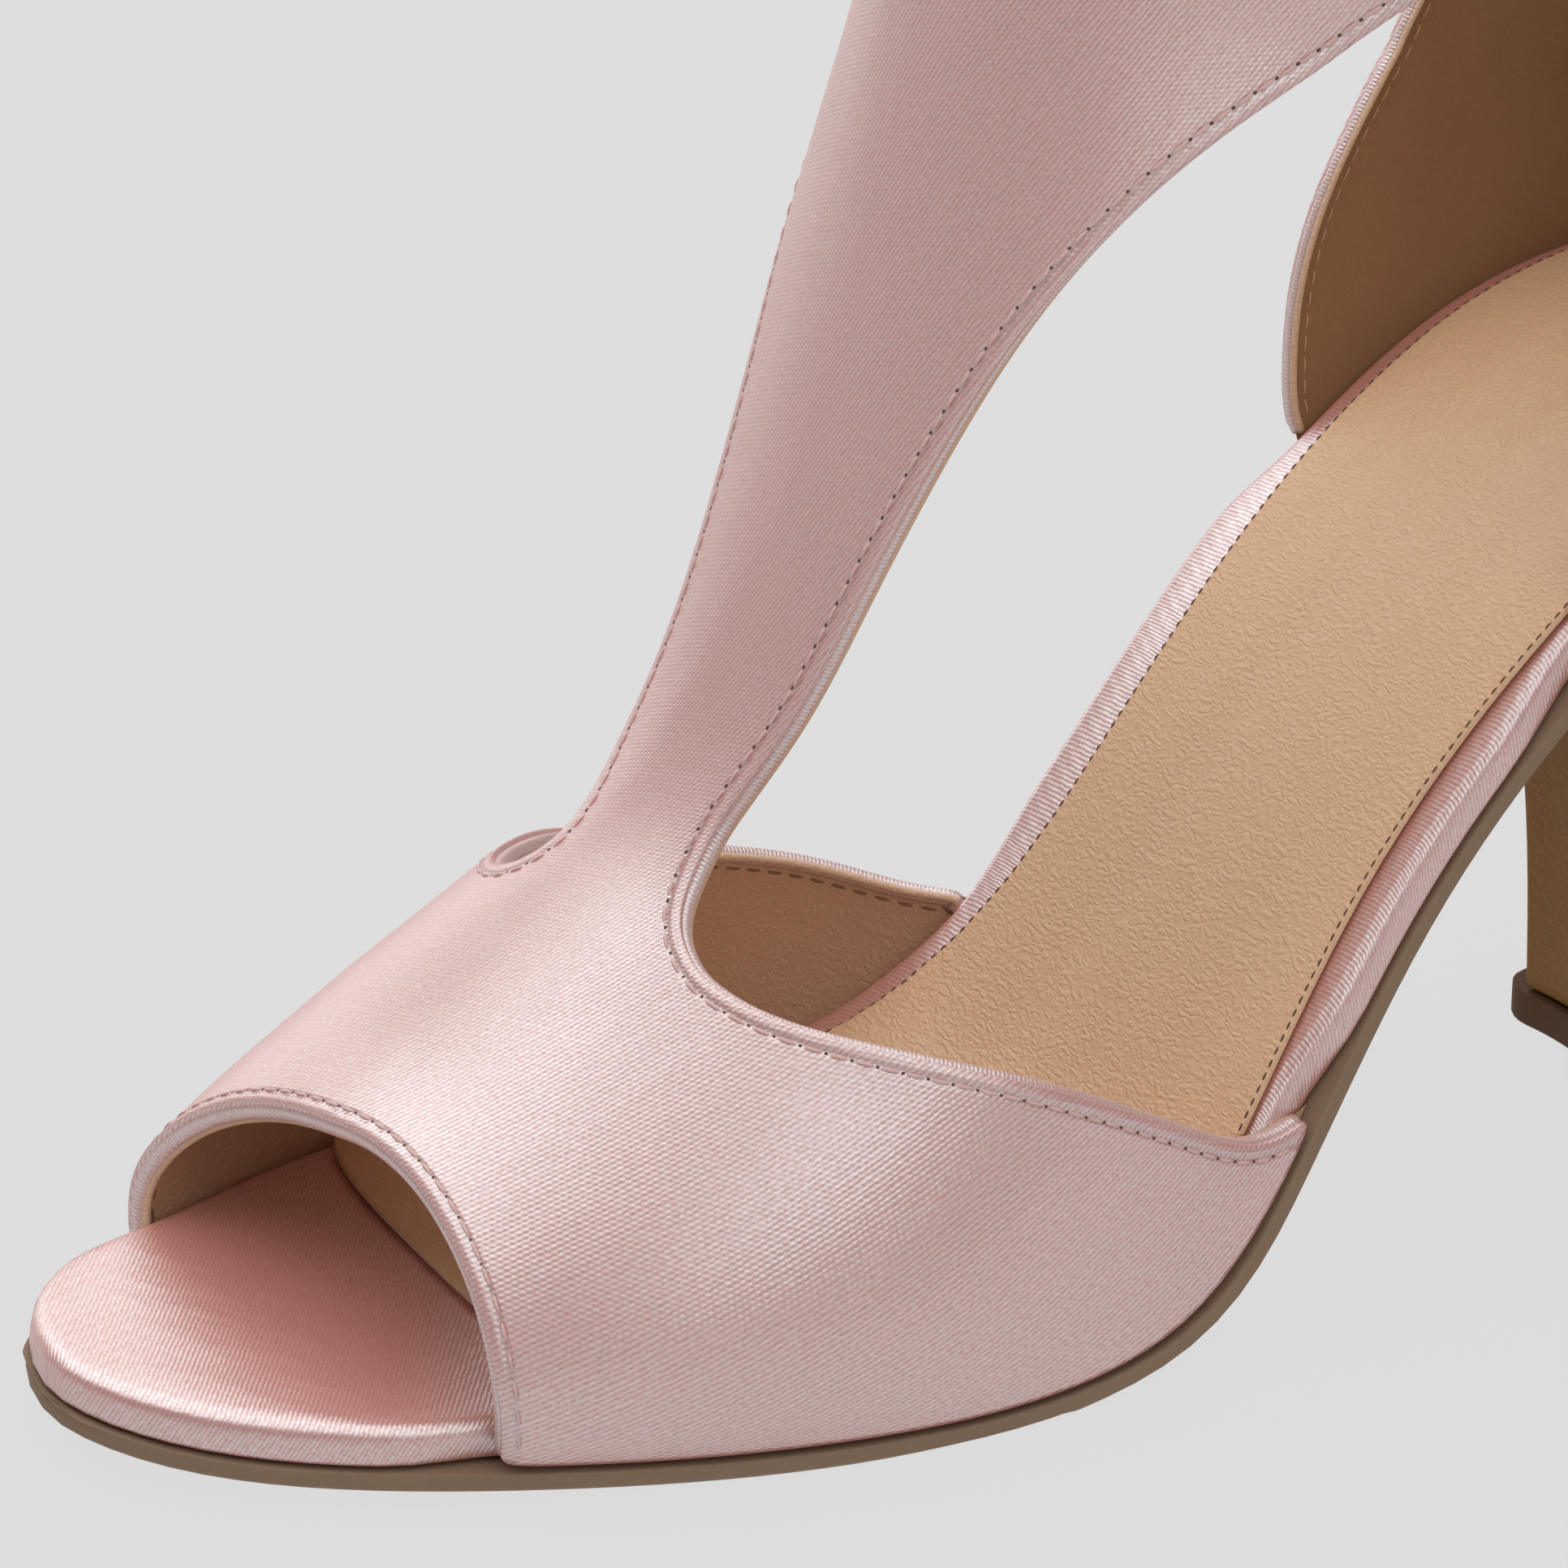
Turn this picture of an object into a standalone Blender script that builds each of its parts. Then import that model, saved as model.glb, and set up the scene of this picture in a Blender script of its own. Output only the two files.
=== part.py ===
"""Left T-strap peep-toe sandal on a slim block heel, in metres, +Z up.

The toe points to -Y and the wearer's left, the outer side of this left shoe, is +X.
The origin is on the floor at the middle of the heel's tread.

The shape is worked out on the last. "across" is the distance from the middle, outer side
positive, and "share" is the place along the insole, 0 at the back of the heel and 1 at the
toe. "Stations" count the section planes of the upper, which fan from the toe over the
instep to the collar, and "span" is the share of a section's length from the ridge down.
"""
import math

import bmesh
import bpy
import numpy as np

# Driving dimensions of the last
INSOLE_LENGTH = 0.243
BALL_WIDTH = 0.0752
SHANK_PITCH = math.radians(49.9)
INSTEP_HEIGHT = 0.1420
COLLAR_HEIGHT = 0.0800
BALL_SKEW = 0.134

# Thicknesses and clearances
UPPER_WALL = 0.0018
SOCK_THICKNESS = 0.0009
BOARD_THICKNESS = 0.0041
OUTSOLE_THICKNESS = 0.0020
BREAST_THICKNESS = 0.0012
LIFT_THICKNESS = 0.0038
GAP = 0.0003
SIDE_GAP = 0.0005
TREAD_WEAR = 0.0003

UPPER_EDGE = BOARD_THICKNESS - GAP

# Widths and margins
STRAP_WIDTH = 0.0236
SOCK_MARGIN = 0.0032
SOCK_ARCH_MARGIN = 0.0064
SOCK_ARCH_RISE = 0.15
SOCK_ARCH_FALL = (0.62, 0.80)
SOCK_FRONT_STARTS = (0.775, 0.812)
SOCK_FRONT_END = 0.847
SOCK_SQUARENESS = 3.0
WELT = 0.0002
BOARD_ROUNDING = 0.0015
OUTSOLE_ROUNDING = 0.0005
SOCK_ROUNDING = 0.0004
SEAT_MARGIN = 0.0012
COVER_FADE = 0.0045

# Heel
HEEL_TREAD_LENGTH = 0.0305
HEEL_TREAD_WIDTH = 0.0244
HEEL_TREAD_FRONT = 0.0452
LIFT_STEP = 0.0008
LIFT_CORNER = 0.0045
SEAT_END = 0.200
BREAST_HOLLOW = 0.0010
LIFT_CHAMFER = 0.0003
FLARE_SHARE = 0.08
SWEEP_SHARE = 0.45
FLARE_POWER = 2.6

# Pitch of the insole: share of the length, share of the shank's pitch
PITCH_TABLE = (
    (0.00, 0.126), (0.12, 0.172), (0.24, 0.667), (0.36, 0.872), (0.48, 1.000),
    (0.56, 0.960), (0.64, 0.154), (0.74, -0.046), (0.87, -0.056), (1.00, -0.136),
)

# Outline of the last's bottom: share of the length, half width as a share of the ball width
OUTER_OUTLINE = (
    (0.016, 0.186), (0.042, 0.279), (0.078, 0.336), (0.130, 0.363), (0.220, 0.366),
    (0.300, 0.362), (0.380, 0.367), (0.460, 0.407), (0.530, 0.460), (0.600, 0.508),
    (0.660, 0.521), (0.720, 0.508), (0.780, 0.471), (0.840, 0.407), (0.900, 0.323),
    (0.937, 0.257), (0.968, 0.177), (0.992, 0.066),
)
INNER_OUTLINE = (
    (0.016, 0.186), (0.042, 0.279), (0.078, 0.336), (0.130, 0.363), (0.220, 0.362),
    (0.300, 0.338), (0.380, 0.301), (0.460, 0.274), (0.530, 0.285), (0.595, 0.359),
    (0.660, 0.444), (0.720, 0.477), (0.780, 0.476), (0.850, 0.431), (0.900, 0.367),
    (0.955, 0.273), (0.984, 0.173),
)
TOE_TIP = (1.000, -0.056)

# Stations of the upper whose sections end on the sole's edge
# ridge: share of the length below it, height above the insole as a share of the instep height
# foot: share of the length; outer and inner: half widths as shares of the ball width
# widest: share of the way down; roundness: exponent of the section's arch
FORE_STATIONS = (
    # ridge, height, foot, outer, inner, widest, roundness
    (0.9465, 0.0568, 0.9630, 0.236, 0.268, 0.72, 1.95),
    (0.9166, 0.1007, 0.9299, 0.308, 0.340, 0.72, 1.95),
    (0.8853, 0.1394, 0.8927, 0.368, 0.398, 0.72, 1.95),
    (0.8499, 0.1782, 0.8474, 0.430, 0.452, 0.74, 1.95),
    (0.8169, 0.2225, 0.7979, 0.486, 0.490, 0.76, 1.90),
    (0.7856, 0.2676, 0.7402, 0.524, 0.500, 0.78, 1.90),
    (0.7575, 0.3113, 0.6825, 0.540, 0.488, 0.78, 1.90),
    (0.7332, 0.3634, 0.6157, 0.520, 0.450, 0.70, 1.95),
    (0.7093, 0.4359, 0.5397, 0.468, 0.416, 0.55, 2.05),
    (0.6856, 0.5352, 0.4480, 0.430, 0.410, 0.43, 2.10),
    (0.6654, 0.6380, 0.3594, 0.420, 0.412, 0.40, 2.10),
    (0.6484, 0.7422, 0.2473, 0.418, 0.414, 0.41, 2.10),
    (0.6368, 0.8225, 0.1463, 0.418, 0.416, 0.42, 2.05),
    (0.6304, 0.8845, 0.0497, 0.418, 0.416, 0.41, 2.00),
)
# Stations of the upper whose sections end on the back line
# back: how far it leans forward, and how high it is, as shares of the collar height
BACK_STATIONS = (
    # ridge, height, lean, rise, outer, inner, widest, roundness
    (0.6280, 0.9261, -0.0110, 0.100, 0.416, 0.416, 0.40, 2.00),
    (0.6272, 0.9754, -0.0130, 0.400, 0.412, 0.412, 0.42, 2.00),
    (0.6264, 1.0246, 0.0380, 0.690, 0.406, 0.406, 0.45, 2.00),
    (0.6256, 1.0739, 0.1130, 0.950, 0.399, 0.399, 0.47, 2.00),
    (0.6248, 1.1373, 0.1500, 1.200, 0.399, 0.399, 0.48, 2.00),
)

# How full the back of the upper is: height above the seat as a share of the collar height,
# width as a share of the seat's
BACK_FULLNESS = ((0.00, 1.00), (0.25, 1.07), (0.50, 1.06), (0.75, 1.00), (1.00, 0.95), (1.20, 0.93))

# Edge of the side window, read from the vamp round to the counter: station and span
OUTER_TOPLINE = (
    (8.55, 1.00), (8.46, 0.988), (8.25, 0.945), (8.08, 0.870), (7.82, 0.738), (7.31, 0.583),
    (6.45, 0.448), (5.92, 0.362), (5.70, 0.297), (5.70, 0.233), (5.91, 0.182), (6.22, 0.157),
)
INNER_TOPLINE = (
    (8.14, 1.00), (8.05, 0.970), (7.93, 0.925), (7.72, 0.835), (7.31, 0.705), (6.80, 0.565),
    (6.36, 0.468), (5.82, 0.385), (5.35, 0.315), (5.12, 0.235), (5.22, 0.145), (5.57, 0.105),
)
# Edges of the strap: station, distance from the ridge as a share of the strap's width
OUTER_STRAP = (
    (6.85, 0.465), (7.72, 0.543), (8.63, 0.627), (9.47, 0.738), (10.31, 0.895), (11.22, 1.146),
    (11.80, 1.312),
)
INNER_STRAP = (
    (6.85, 0.420), (7.72, 0.490), (8.63, 0.550), (9.47, 0.630), (10.31, 0.790), (11.22, 1.110),
    (11.80, 1.310),
)
# The window's back half as seen from the side: forward of the heel as a share of the insole's
# length, height above the seat's corner as a share of the collar height
WING_EDGE = (
    (0.4396, 0.487), (0.4048, 0.549), (0.3732, 0.607), (0.3290, 0.662), (0.2880, 0.700),
    (0.2460, 0.711), (0.2120, 0.690), (0.1910, 0.630), (0.1850, 0.545), (0.1890, 0.440),
    (0.2020, 0.335),
)
COUNTER_EDGE = (
    (0.2201, 0.249), (0.2351, 0.177), (0.2485, 0.105), (0.2578, 0.029), (0.2635, -0.049),
    (0.2668, -0.124), (0.2680, -0.202),
)
# Station where the counter's front edge meets the sole
COUNTER_FOOT = 10.60
# Rim of the peep toe and edge of the collar
OUTER_RIM = (
    (2.60, 1.00), (2.50, 0.80), (2.48, 0.65), (2.45, 0.45), (2.37, 0.26), (2.23, 0.11), (2.08, 0.00),
)
INNER_RIM = ((1.25, 1.00), (1.22, 0.80), (1.40, 0.58), (1.64, 0.38), (1.90, 0.16), (2.08, 0.00))
COLLAR_EDGE = (
    (15.35, 0.00), (15.44, 0.16), (15.68, 0.32), (16.02, 0.49), (16.34, 0.66), (16.56, 0.84),
    (16.66, 1.00),
)
# Station at the back of the heel, where the sections leave the sole for the back line
SEAT_CORNER = len(FORE_STATIONS) - 0.5

# Rows of the window's back half at which the band round it turns into the wing and the counter
WING_TURN = 2
COUNTER_TURN = 8

# Fineness of the meshes
OUTLINE_STEPS = 44
SOCK_FRONT_STEPS = 12
SEAT_STEPS = 200
ROUNDING_TURNS = (0, 30, 60, 90)
BAND_STEPS = (19, 8, 18, 12, 14)
BAND_ROWS = 10
HEEL_LEVELS = 9
BREAST_STEPS = 9
CORNER_STEPS = 3
TREAD_STEPS = 19
FINE_STEPS = 1200
SECTION_STATIONS = 8.0
WELD_DISTANCE = 0.000001


def monotone(knots, values, places):
    """Cubic curve through the knots that doesn't overshoot between them."""
    knots = np.asarray(knots, float)
    values = np.asarray(values, float)
    places = np.asarray(places, float)
    widths = np.diff(knots)
    slopes = np.diff(values) / widths
    tangents = np.zeros_like(values)
    tangents[0] = slopes[0]
    tangents[-1] = slopes[-1]
    for i in range(1, len(knots) - 1):
        if slopes[i - 1] * slopes[i] > 0:
            before = 2 * widths[i] + widths[i - 1]
            after = widths[i] + 2 * widths[i - 1]
            tangents[i] = (before + after) / (before / slopes[i - 1] + after / slopes[i])
    cell = np.clip(np.searchsorted(knots, places) - 1, 0, len(knots) - 2)
    t = (places - knots[cell]) / widths[cell]
    width = widths[cell]
    start = (1 + 2 * t) * (1 - t) ** 2 * values[cell] + t * (1 - t) ** 2 * width * tangents[cell]
    end = t * t * (3 - 2 * t) * values[cell + 1] + t * t * (t - 1) * width * tangents[cell + 1]
    return start + end


def smooth(points, places, closed=False):
    """Cubic spline through points a unit of chord length apart, read at shares of its length."""
    points = np.asarray(points, float)
    if closed:
        points = np.concatenate([points, points[:1]])
    chords = np.linalg.norm(np.diff(points, axis=0), axis=1)
    knots = np.concatenate([[0.0], np.cumsum(chords)])
    count = len(knots)
    matrix = np.zeros((count, count))
    bends = np.zeros_like(points)
    for i in range(1, count - 1):
        matrix[i, i - 1:i + 2] = chords[i - 1], 2 * (chords[i - 1] + chords[i]), chords[i]
        bends[i] = 6 * ((points[i + 1] - points[i]) / chords[i]
                        - (points[i] - points[i - 1]) / chords[i - 1])
    if closed:
        matrix[0, 0] = 2 * (chords[0] + chords[-1])
        matrix[0, 1] = chords[0]
        matrix[0, -2] = chords[-1]
        bends[0] = 6 * ((points[1] - points[0]) / chords[0] - (points[-1] - points[-2]) / chords[-1])
        matrix[-1, 0] = 1
        matrix[-1, -1] = -1
    else:
        matrix[0, 0] = 1
        matrix[-1, -1] = 1
    curves = np.linalg.solve(matrix, bends)
    along = np.asarray(places, float) * knots[-1]
    cell = np.clip(np.searchsorted(knots, along, side="right") - 1, 0, count - 2)
    after = (along - knots[cell])[:, None]
    span = chords[cell][:, None]
    before = span - after
    cubic = (curves[cell] * before ** 3 + curves[cell + 1] * after ** 3) / (6 * span)
    left = (points[cell] / span - curves[cell] * span / 6) * before
    right = (points[cell + 1] / span - curves[cell + 1] * span / 6) * after
    return cubic + left + right


def smooth_step(value):
    """Ease from 0 to 1 for values from 0 to 1."""
    t = np.clip(value, 0.0, 1.0)
    return t * t * (3 - 2 * t)


class Last:
    """The last's bottom: a pitched, skewed surface with an outer and an inner outline."""

    samples = 800
    loop_samples = 3000
    skew_start = 0.15
    skew_fade = 0.25

    def __init__(self):
        self.shares = np.linspace(0, 1, self.samples + 1)
        knots, pitches = np.transpose(PITCH_TABLE)
        pitch = SHANK_PITCH * monotone(knots, pitches, self.shares)
        step = INSOLE_LENGTH / self.samples
        middle = (pitch[1:] + pitch[:-1]) / 2
        self.forward = np.concatenate([[0.0], np.cumsum(np.cos(middle)) * step])
        drop = np.concatenate([[0.0], np.cumsum(np.sin(middle)) * step])
        self.lean = np.sin(pitch)
        self.upright = np.cos(pitch)
        self.depth = BOARD_THICKNESS + GAP + OUTSOLE_THICKNESS
        lowest = (-drop - self.upright * self.depth).min()
        self.height = -drop - lowest - TREAD_WEAR
        outer = [(BALL_WIDTH * half, INSOLE_LENGTH * share) for share, half in OUTER_OUTLINE]
        inner = [(-BALL_WIDTH * half, INSOLE_LENGTH * share) for share, half in INNER_OUTLINE]
        tip = (BALL_WIDTH * TOE_TIP[1], INSOLE_LENGTH * TOE_TIP[0])
        loop = smooth([(0.0, 0.0)] + outer + [tip] + inner[::-1],
                      np.linspace(0, 1, self.loop_samples + 1), closed=True)
        loop[:, 1] /= INSOLE_LENGTH
        toe = int(loop[:, 1].argmax())
        self.outline = {1: loop[:toe + 1], -1: loop[toe:][::-1]}

    def point(self, across, share, depth=0.0):
        """Place on the last's bottom, or a depth below it."""
        across, share, depth = np.broadcast_arrays(
            np.asarray(across, float), np.asarray(share, float), np.asarray(depth, float))
        level = smooth_step((share - self.skew_start) / self.skew_fade)
        level = level * smooth_step((1 - share) / self.skew_fade)
        forward = np.interp(share, self.shares, self.forward)
        matched = forward + BALL_SKEW * across * level
        lean = np.interp(matched, self.forward, self.lean)
        upright = np.interp(matched, self.forward, self.upright)
        height = np.interp(matched, self.forward, self.height)
        return np.stack([across, forward - lean * depth, height - upright * depth], -1)

    def edge(self, side, share):
        """Signed half width of one side."""
        half = self.outline[side]
        order = np.argsort(half[:, 1], kind="stable")
        return np.interp(share, half[order, 1], half[order, 0])

    def half_outline(self, side, count, start=0.0, stop=1.0):
        """Points (across, share) of one side, evenly spaced, from the heel to the toe."""
        half = self.outline[side]
        half = half[(half[:, 1] >= start) & (half[:, 1] <= stop)]
        scaled = half * (1.0, INSOLE_LENGTH)
        length = np.concatenate([[0.0], np.cumsum(np.linalg.norm(np.diff(scaled, axis=0), axis=1))])
        at = np.linspace(0, length[-1], count)
        return np.stack([np.interp(at, length, half[:, 0]), np.interp(at, length, half[:, 1])], -1)


class UpperForm:
    """The outer face of the upper: sections from the ridge to the sole or the back line."""

    planes = 577
    section_steps = 81
    arc_steps = 161
    tuck = 0.0004
    heel_fade = (0.30, 0.18)
    heel_blend = 0.7
    reach = 1.05
    settle_steps = 3

    def __init__(self, last):
        self.last = last
        self.count = len(FORE_STATIONS) + len(BACK_STATIONS)
        self.places = np.linspace(0, self.count - 1, self.planes)
        self.ridge = self._ridge()
        self.corner = last.point(0.0, 0.0, UPPER_EDGE)
        self.back = self._back_line()
        self.ends = {side: self._ends(side) for side in (1, -1)}
        self.grid = {}
        self.length = {}
        for side in (1, -1):
            self.grid[side], self.length[side] = self._sections(side)

    def _between(self, values):
        knots = np.arange(len(values), dtype=float)
        return monotone(knots, values, self.places)

    def _ridge(self):
        rows = [row[:2] for row in FORE_STATIONS + BACK_STATIONS]
        feet = self.last.point(0.0, [row[0] for row in rows])
        forward = feet[:, 1]
        height = feet[:, 2] + INSTEP_HEIGHT * np.array([row[1] for row in rows])
        return np.stack([self._between(forward), self._between(height)], -1)

    def _feet(self):
        """Share of the insole's length at which each section ends, 0 on the back line."""
        knots = list(range(len(FORE_STATIONS))) + [SEAT_CORNER]
        shares = monotone(knots, [row[2] for row in FORE_STATIONS] + [0.0],
                          np.minimum(self.places, SEAT_CORNER))
        return np.clip(shares, 0.0, 1.0)

    def _back_line(self):
        """How far the back line leans forward and how high it is, from the seat's corner up."""
        knots = [SEAT_CORNER] + list(range(len(FORE_STATIONS), self.count))
        rows = np.array([(0.0, 0.0)] + [row[2:4] for row in BACK_STATIONS]) * COLLAR_HEIGHT
        above = self.places[self.places > SEAT_CORNER]
        line = np.stack([monotone(knots, rows[:, k], above) for k in (0, 1)], -1)
        return np.concatenate([rows[:1], line])

    def _around_heel(self, side, flat, progress, half):
        """Half widths that follow the seat's outline round the heel, fuller above it."""
        forward = flat[:, 0] - self.corner[1] - self.lean(flat[:, 1] - self.corner[2])
        share = np.interp(forward, self.last.forward, self.last.shares)
        seat = np.abs(self.last.edge(side, np.clip(share, 0.0, self.heel_fade[1])))
        full = abs(self.last.edge(side, self.heel_fade[1]))
        floor = self.last.point(side * seat, share, UPPER_EDGE)[:, 2]
        knots, fullness = np.transpose(BACK_FULLNESS)
        rise = np.clip((flat[:, 1] - floor) / COLLAR_HEIGHT, knots[0], knots[-1])
        mix = smooth_step(progress / self.heel_blend)
        return seat * (half / full * (1 - mix) + monotone(knots, fullness, rise) * mix)

    def _ends(self, side):
        on_sole = self.places <= SEAT_CORNER
        shares = self._feet()[on_sole]
        across = self.last.edge(side, shares)
        sole = self.last.point(across, shares, UPPER_EDGE)
        ends = np.zeros((self.planes, 3))
        ends[on_sole, 0] = np.maximum(side * across, 0.0)
        ends[on_sole, 1:] = sole[:, 1:]
        ends[~on_sole, 1:] = self.corner[1:] + self.back[1:]
        return ends

    def _sections(self, side):
        column = 3 if side > 0 else 4
        halves = [row[column] for row in FORE_STATIONS] + [row[column + 1] for row in BACK_STATIONS]
        widest = [row[5] for row in FORE_STATIONS] + [row[6] for row in BACK_STATIONS]
        roundness = [row[6] for row in FORE_STATIONS] + [row[7] for row in BACK_STATIONS]
        halves = BALL_WIDTH * self._between(halves)
        widest = self._between(widest)
        roundness = self._between(roundness)
        feet = self._feet()
        heel = smooth_step((self.heel_fade[0] - feet) / (self.heel_fade[0] - self.heel_fade[1]))
        turn = np.linspace(0, math.pi / 2, self.arc_steps)
        grid = np.zeros((self.planes, self.section_steps, 3))
        length = np.zeros(self.planes)
        for i in range(self.planes):
            end = self.ends[side][i]
            half = max(halves[i], end[0] + self.tuck)
            power = 2 / roundness[i]
            arch = widest[i] * (1 - np.cos(turn) ** power)
            cut = math.sqrt(1 - (end[0] / half) ** 2)
            tail = math.asin(cut) * np.linspace(0, 1, self.arc_steps)[1:]
            below = widest[i] + (1 - widest[i]) * np.sin(tail) / cut
            down = np.concatenate([arch, below])[:, None]
            flat = self.ridge[i] + (end[1:] - self.ridge[i]) * down
            tucked = half * np.cos(tail)
            around = self._around_heel(side, flat[self.arc_steps:], tail / tail[-1], half)
            lower = tucked * (1 - heel[i]) + around * heel[i]
            across = np.concatenate([half * np.sin(turn) ** power, lower])
            curve = np.concatenate([side * across[:, None], flat], axis=1)
            steps = np.linalg.norm(np.diff(curve, axis=0), axis=1)
            run = np.concatenate([[0.0], np.cumsum(steps)])
            length[i] = run[-1]
            at = np.linspace(0, run[-1], self.section_steps)
            for k in range(3):
                grid[i, :, k] = np.interp(at, run, curve[:, k])
        return grid, length

    def point(self, side, station, span):
        """Place on the outer face."""
        row = np.clip(station / (self.count - 1) * (self.planes - 1), 0, self.planes - 1)
        column = np.clip(span * (self.section_steps - 1), 0, self.section_steps - 1)
        i = np.minimum(row.astype(int), self.planes - 2)
        j = np.minimum(column.astype(int), self.section_steps - 2)
        u = (row - i)[..., None]
        v = (column - j)[..., None]
        grid = self.grid[side]
        near = grid[i, j] * (1 - u) + grid[i + 1, j] * u
        far = grid[i, j + 1] * (1 - u) + grid[i + 1, j + 1] * u
        return near * (1 - v) + far * v

    def locate(self, side, forward, height):
        """Station and span of the spot seen from the side at these places."""
        chords = self.ends[side][:, 1:] - self.ridge
        stations = np.zeros(forward.shape)
        spans = np.zeros(forward.shape)
        shares = np.linspace(0, 1, self.section_steps)
        for at in np.ndindex(forward.shape):
            offset = np.array((forward[at], height[at])) - self.ridge
            turn = chords[:, 0] * offset[:, 1] - chords[:, 1] * offset[:, 0]
            down = (offset * chords).sum(axis=1) / (chords ** 2).sum(axis=1)
            crossing = (turn[:-1] * turn[1:] <= 0) & (down[:-1] > 0) & (down[:-1] < self.reach)
            i = int(np.argmax(crossing))
            mix = turn[i] / (turn[i] - turn[i + 1])
            stations[at] = self.places[i] + mix * (self.places[i + 1] - self.places[i])
            section = self.grid[side][i, :, 1:] - self.ridge[i]
            depth = section @ chords[i] / (chords[i] @ chords[i])
            spans[at] = np.interp(down[i] + mix * (down[i + 1] - down[i]), depth, shares)
        return np.stack([stations, spans], -1)

    def lean(self, rise):
        """How far the back line leans forward at a height above the seat's corner."""
        return np.interp(rise, self.back[:, 1], self.back[:, 0])

    def share(self, forward):
        """Share of the insole's length at a distance forward."""
        return np.interp(forward - self.corner[1], self.last.forward, self.last.shares)

    def sole_height(self, side, forward):
        """Height of the upper's lower edge."""
        share = self.share(forward)
        return self.last.point(self.last.edge(side, share), share, UPPER_EDGE)[..., 2]

    def heel_place(self, side, line):
        """Height above the sole and run forward of the back line, for a line of spots."""
        points = self.point(side, line[:, 0], line[:, 1])
        rise = points[:, 2] - self.sole_height(side, points[:, 1])
        run = points[:, 1] - self.corner[1] - self.lean(points[:, 2] - self.corner[2])
        return rise[:, None], np.maximum(run, 0.0)[:, None]

    def round_heel(self, side, inner, outer, mix):
        """Spread spots between two edges by height above the sole and by turn round the heel."""
        start_rise, start_run = self.heel_place(side, inner)
        stop_rise, stop_run = self.heel_place(side, outer)
        rise = start_rise * (1 - mix) + stop_rise * mix
        run = (np.sqrt(start_run) * (1 - mix) + np.sqrt(stop_run) * mix) ** 2
        forward = self.corner[1] + run + self.lean(rise)
        for _ in range(self.settle_steps):
            height = self.sole_height(side, forward) + rise
            forward = self.corner[1] + run + self.lean(height - self.corner[2])
        spots = self.locate(side, forward, self.sole_height(side, forward) + rise)
        spots[:, 0] = inner
        spots[:, -1] = outer
        on_sole = self.places <= SEAT_CORNER
        feet = self._feet()[on_sole][::-1]
        places = self.places[on_sole][::-1]
        spots[-1, 1:-1, 0] = np.interp(self.share(forward[-1]), feet, places)[1:-1]
        spots[-1, :, 1] = 1.0
        return spots

    def side_line(self, side, strap):
        """Fine line of (station, span) for the window's back half, which is drawn from the side."""
        rows = [self.point(side, *np.array(spot))[1:] for spot in strap[-2:]]
        for forward, height in WING_EDGE + COUNTER_EDGE:
            rows.append(self.corner[1:] + (INSOLE_LENGTH * forward, COLLAR_HEIGHT * height))
        rows.append(self.point(side, np.array(COUNTER_FOOT), np.array(1.0))[1:])
        line, marks = fine_line(rows)
        line = line[marks[1]:]
        return self.locate(side, line[:, 0], line[:, 1]), marks[1:] - marks[1]

    def section_length(self, side, station):
        """Length of a section from the ridge down."""
        return float(np.interp(station, self.places, self.length[side]))

    def strap_edge(self, side):
        """Station and span of the strap's edge."""
        rows = []
        for station, share in OUTER_STRAP if side > 0 else INNER_STRAP:
            rows.append((station, share * STRAP_WIDTH / self.section_length(side, station)))
        return rows


def find_material(name, colour, roughness):
    """Principled material with one colour."""
    material = bpy.data.materials.new(name)
    material.use_nodes = True
    shader = material.node_tree.nodes["Principled BSDF"]
    shader.inputs["Base Color"].default_value = (*colour, 1.0)
    shader.inputs["Roughness"].default_value = roughness
    shader.inputs["Metallic"].default_value = 0.0
    material.diffuse_color = (*colour, 1.0)
    return material


def to_world(points):
    """From (across, forward, height) to X, Y, Z with the origin under the heel."""
    points = np.asarray(points, float)
    tread_middle = HEEL_TREAD_FRONT - HEEL_TREAD_LENGTH / 2
    return np.stack([points[..., 0], tread_middle - points[..., 1], points[..., 2]], -1)


def make_object(name, bm, material, sharp=math.radians(35)):
    """Turn a bmesh into a named object with its faces pointing out."""
    bmesh.ops.recalc_face_normals(bm, faces=bm.faces)
    mesh = bpy.data.meshes.new(name)
    bm.to_mesh(mesh)
    bm.free()
    mesh.materials.append(material)
    mesh.shade_smooth()
    mesh.set_sharp_from_angle(angle=sharp)
    made = bpy.data.objects.new(name, mesh)
    bpy.context.scene.collection.objects.link(made)
    return made


def add_ring(bm, points):
    """Vertices of one closed ring."""
    return [bm.verts.new(point) for point in to_world(points)]


def bridge(bm, first, second):
    """Quads between two rings with as many vertices."""
    count = len(first)
    for i in range(count):
        j = (i + 1) % count
        bm.faces.new((first[i], first[j], second[j], second[i]))


def inset_loop(loop, amount):
    """Move a closed loop of (across, share) inwards by a distance."""
    scaled = loop * (1.0, INSOLE_LENGTH)
    tangent = np.roll(scaled, -1, axis=0) - np.roll(scaled, 1, axis=0)
    tangent /= np.linalg.norm(tangent, axis=1, keepdims=True)
    inward = np.stack([-tangent[:, 1], tangent[:, 0]], -1)
    amount = np.broadcast_to(amount, len(loop))[:, None]
    return (scaled + inward * amount) / (1.0, INSOLE_LENGTH)


def make_loop(outer, inner):
    """Closed loop from the heel up the outer side, round the toe and back."""
    return np.concatenate([outer, inner[-2:0:-1]])


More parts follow.
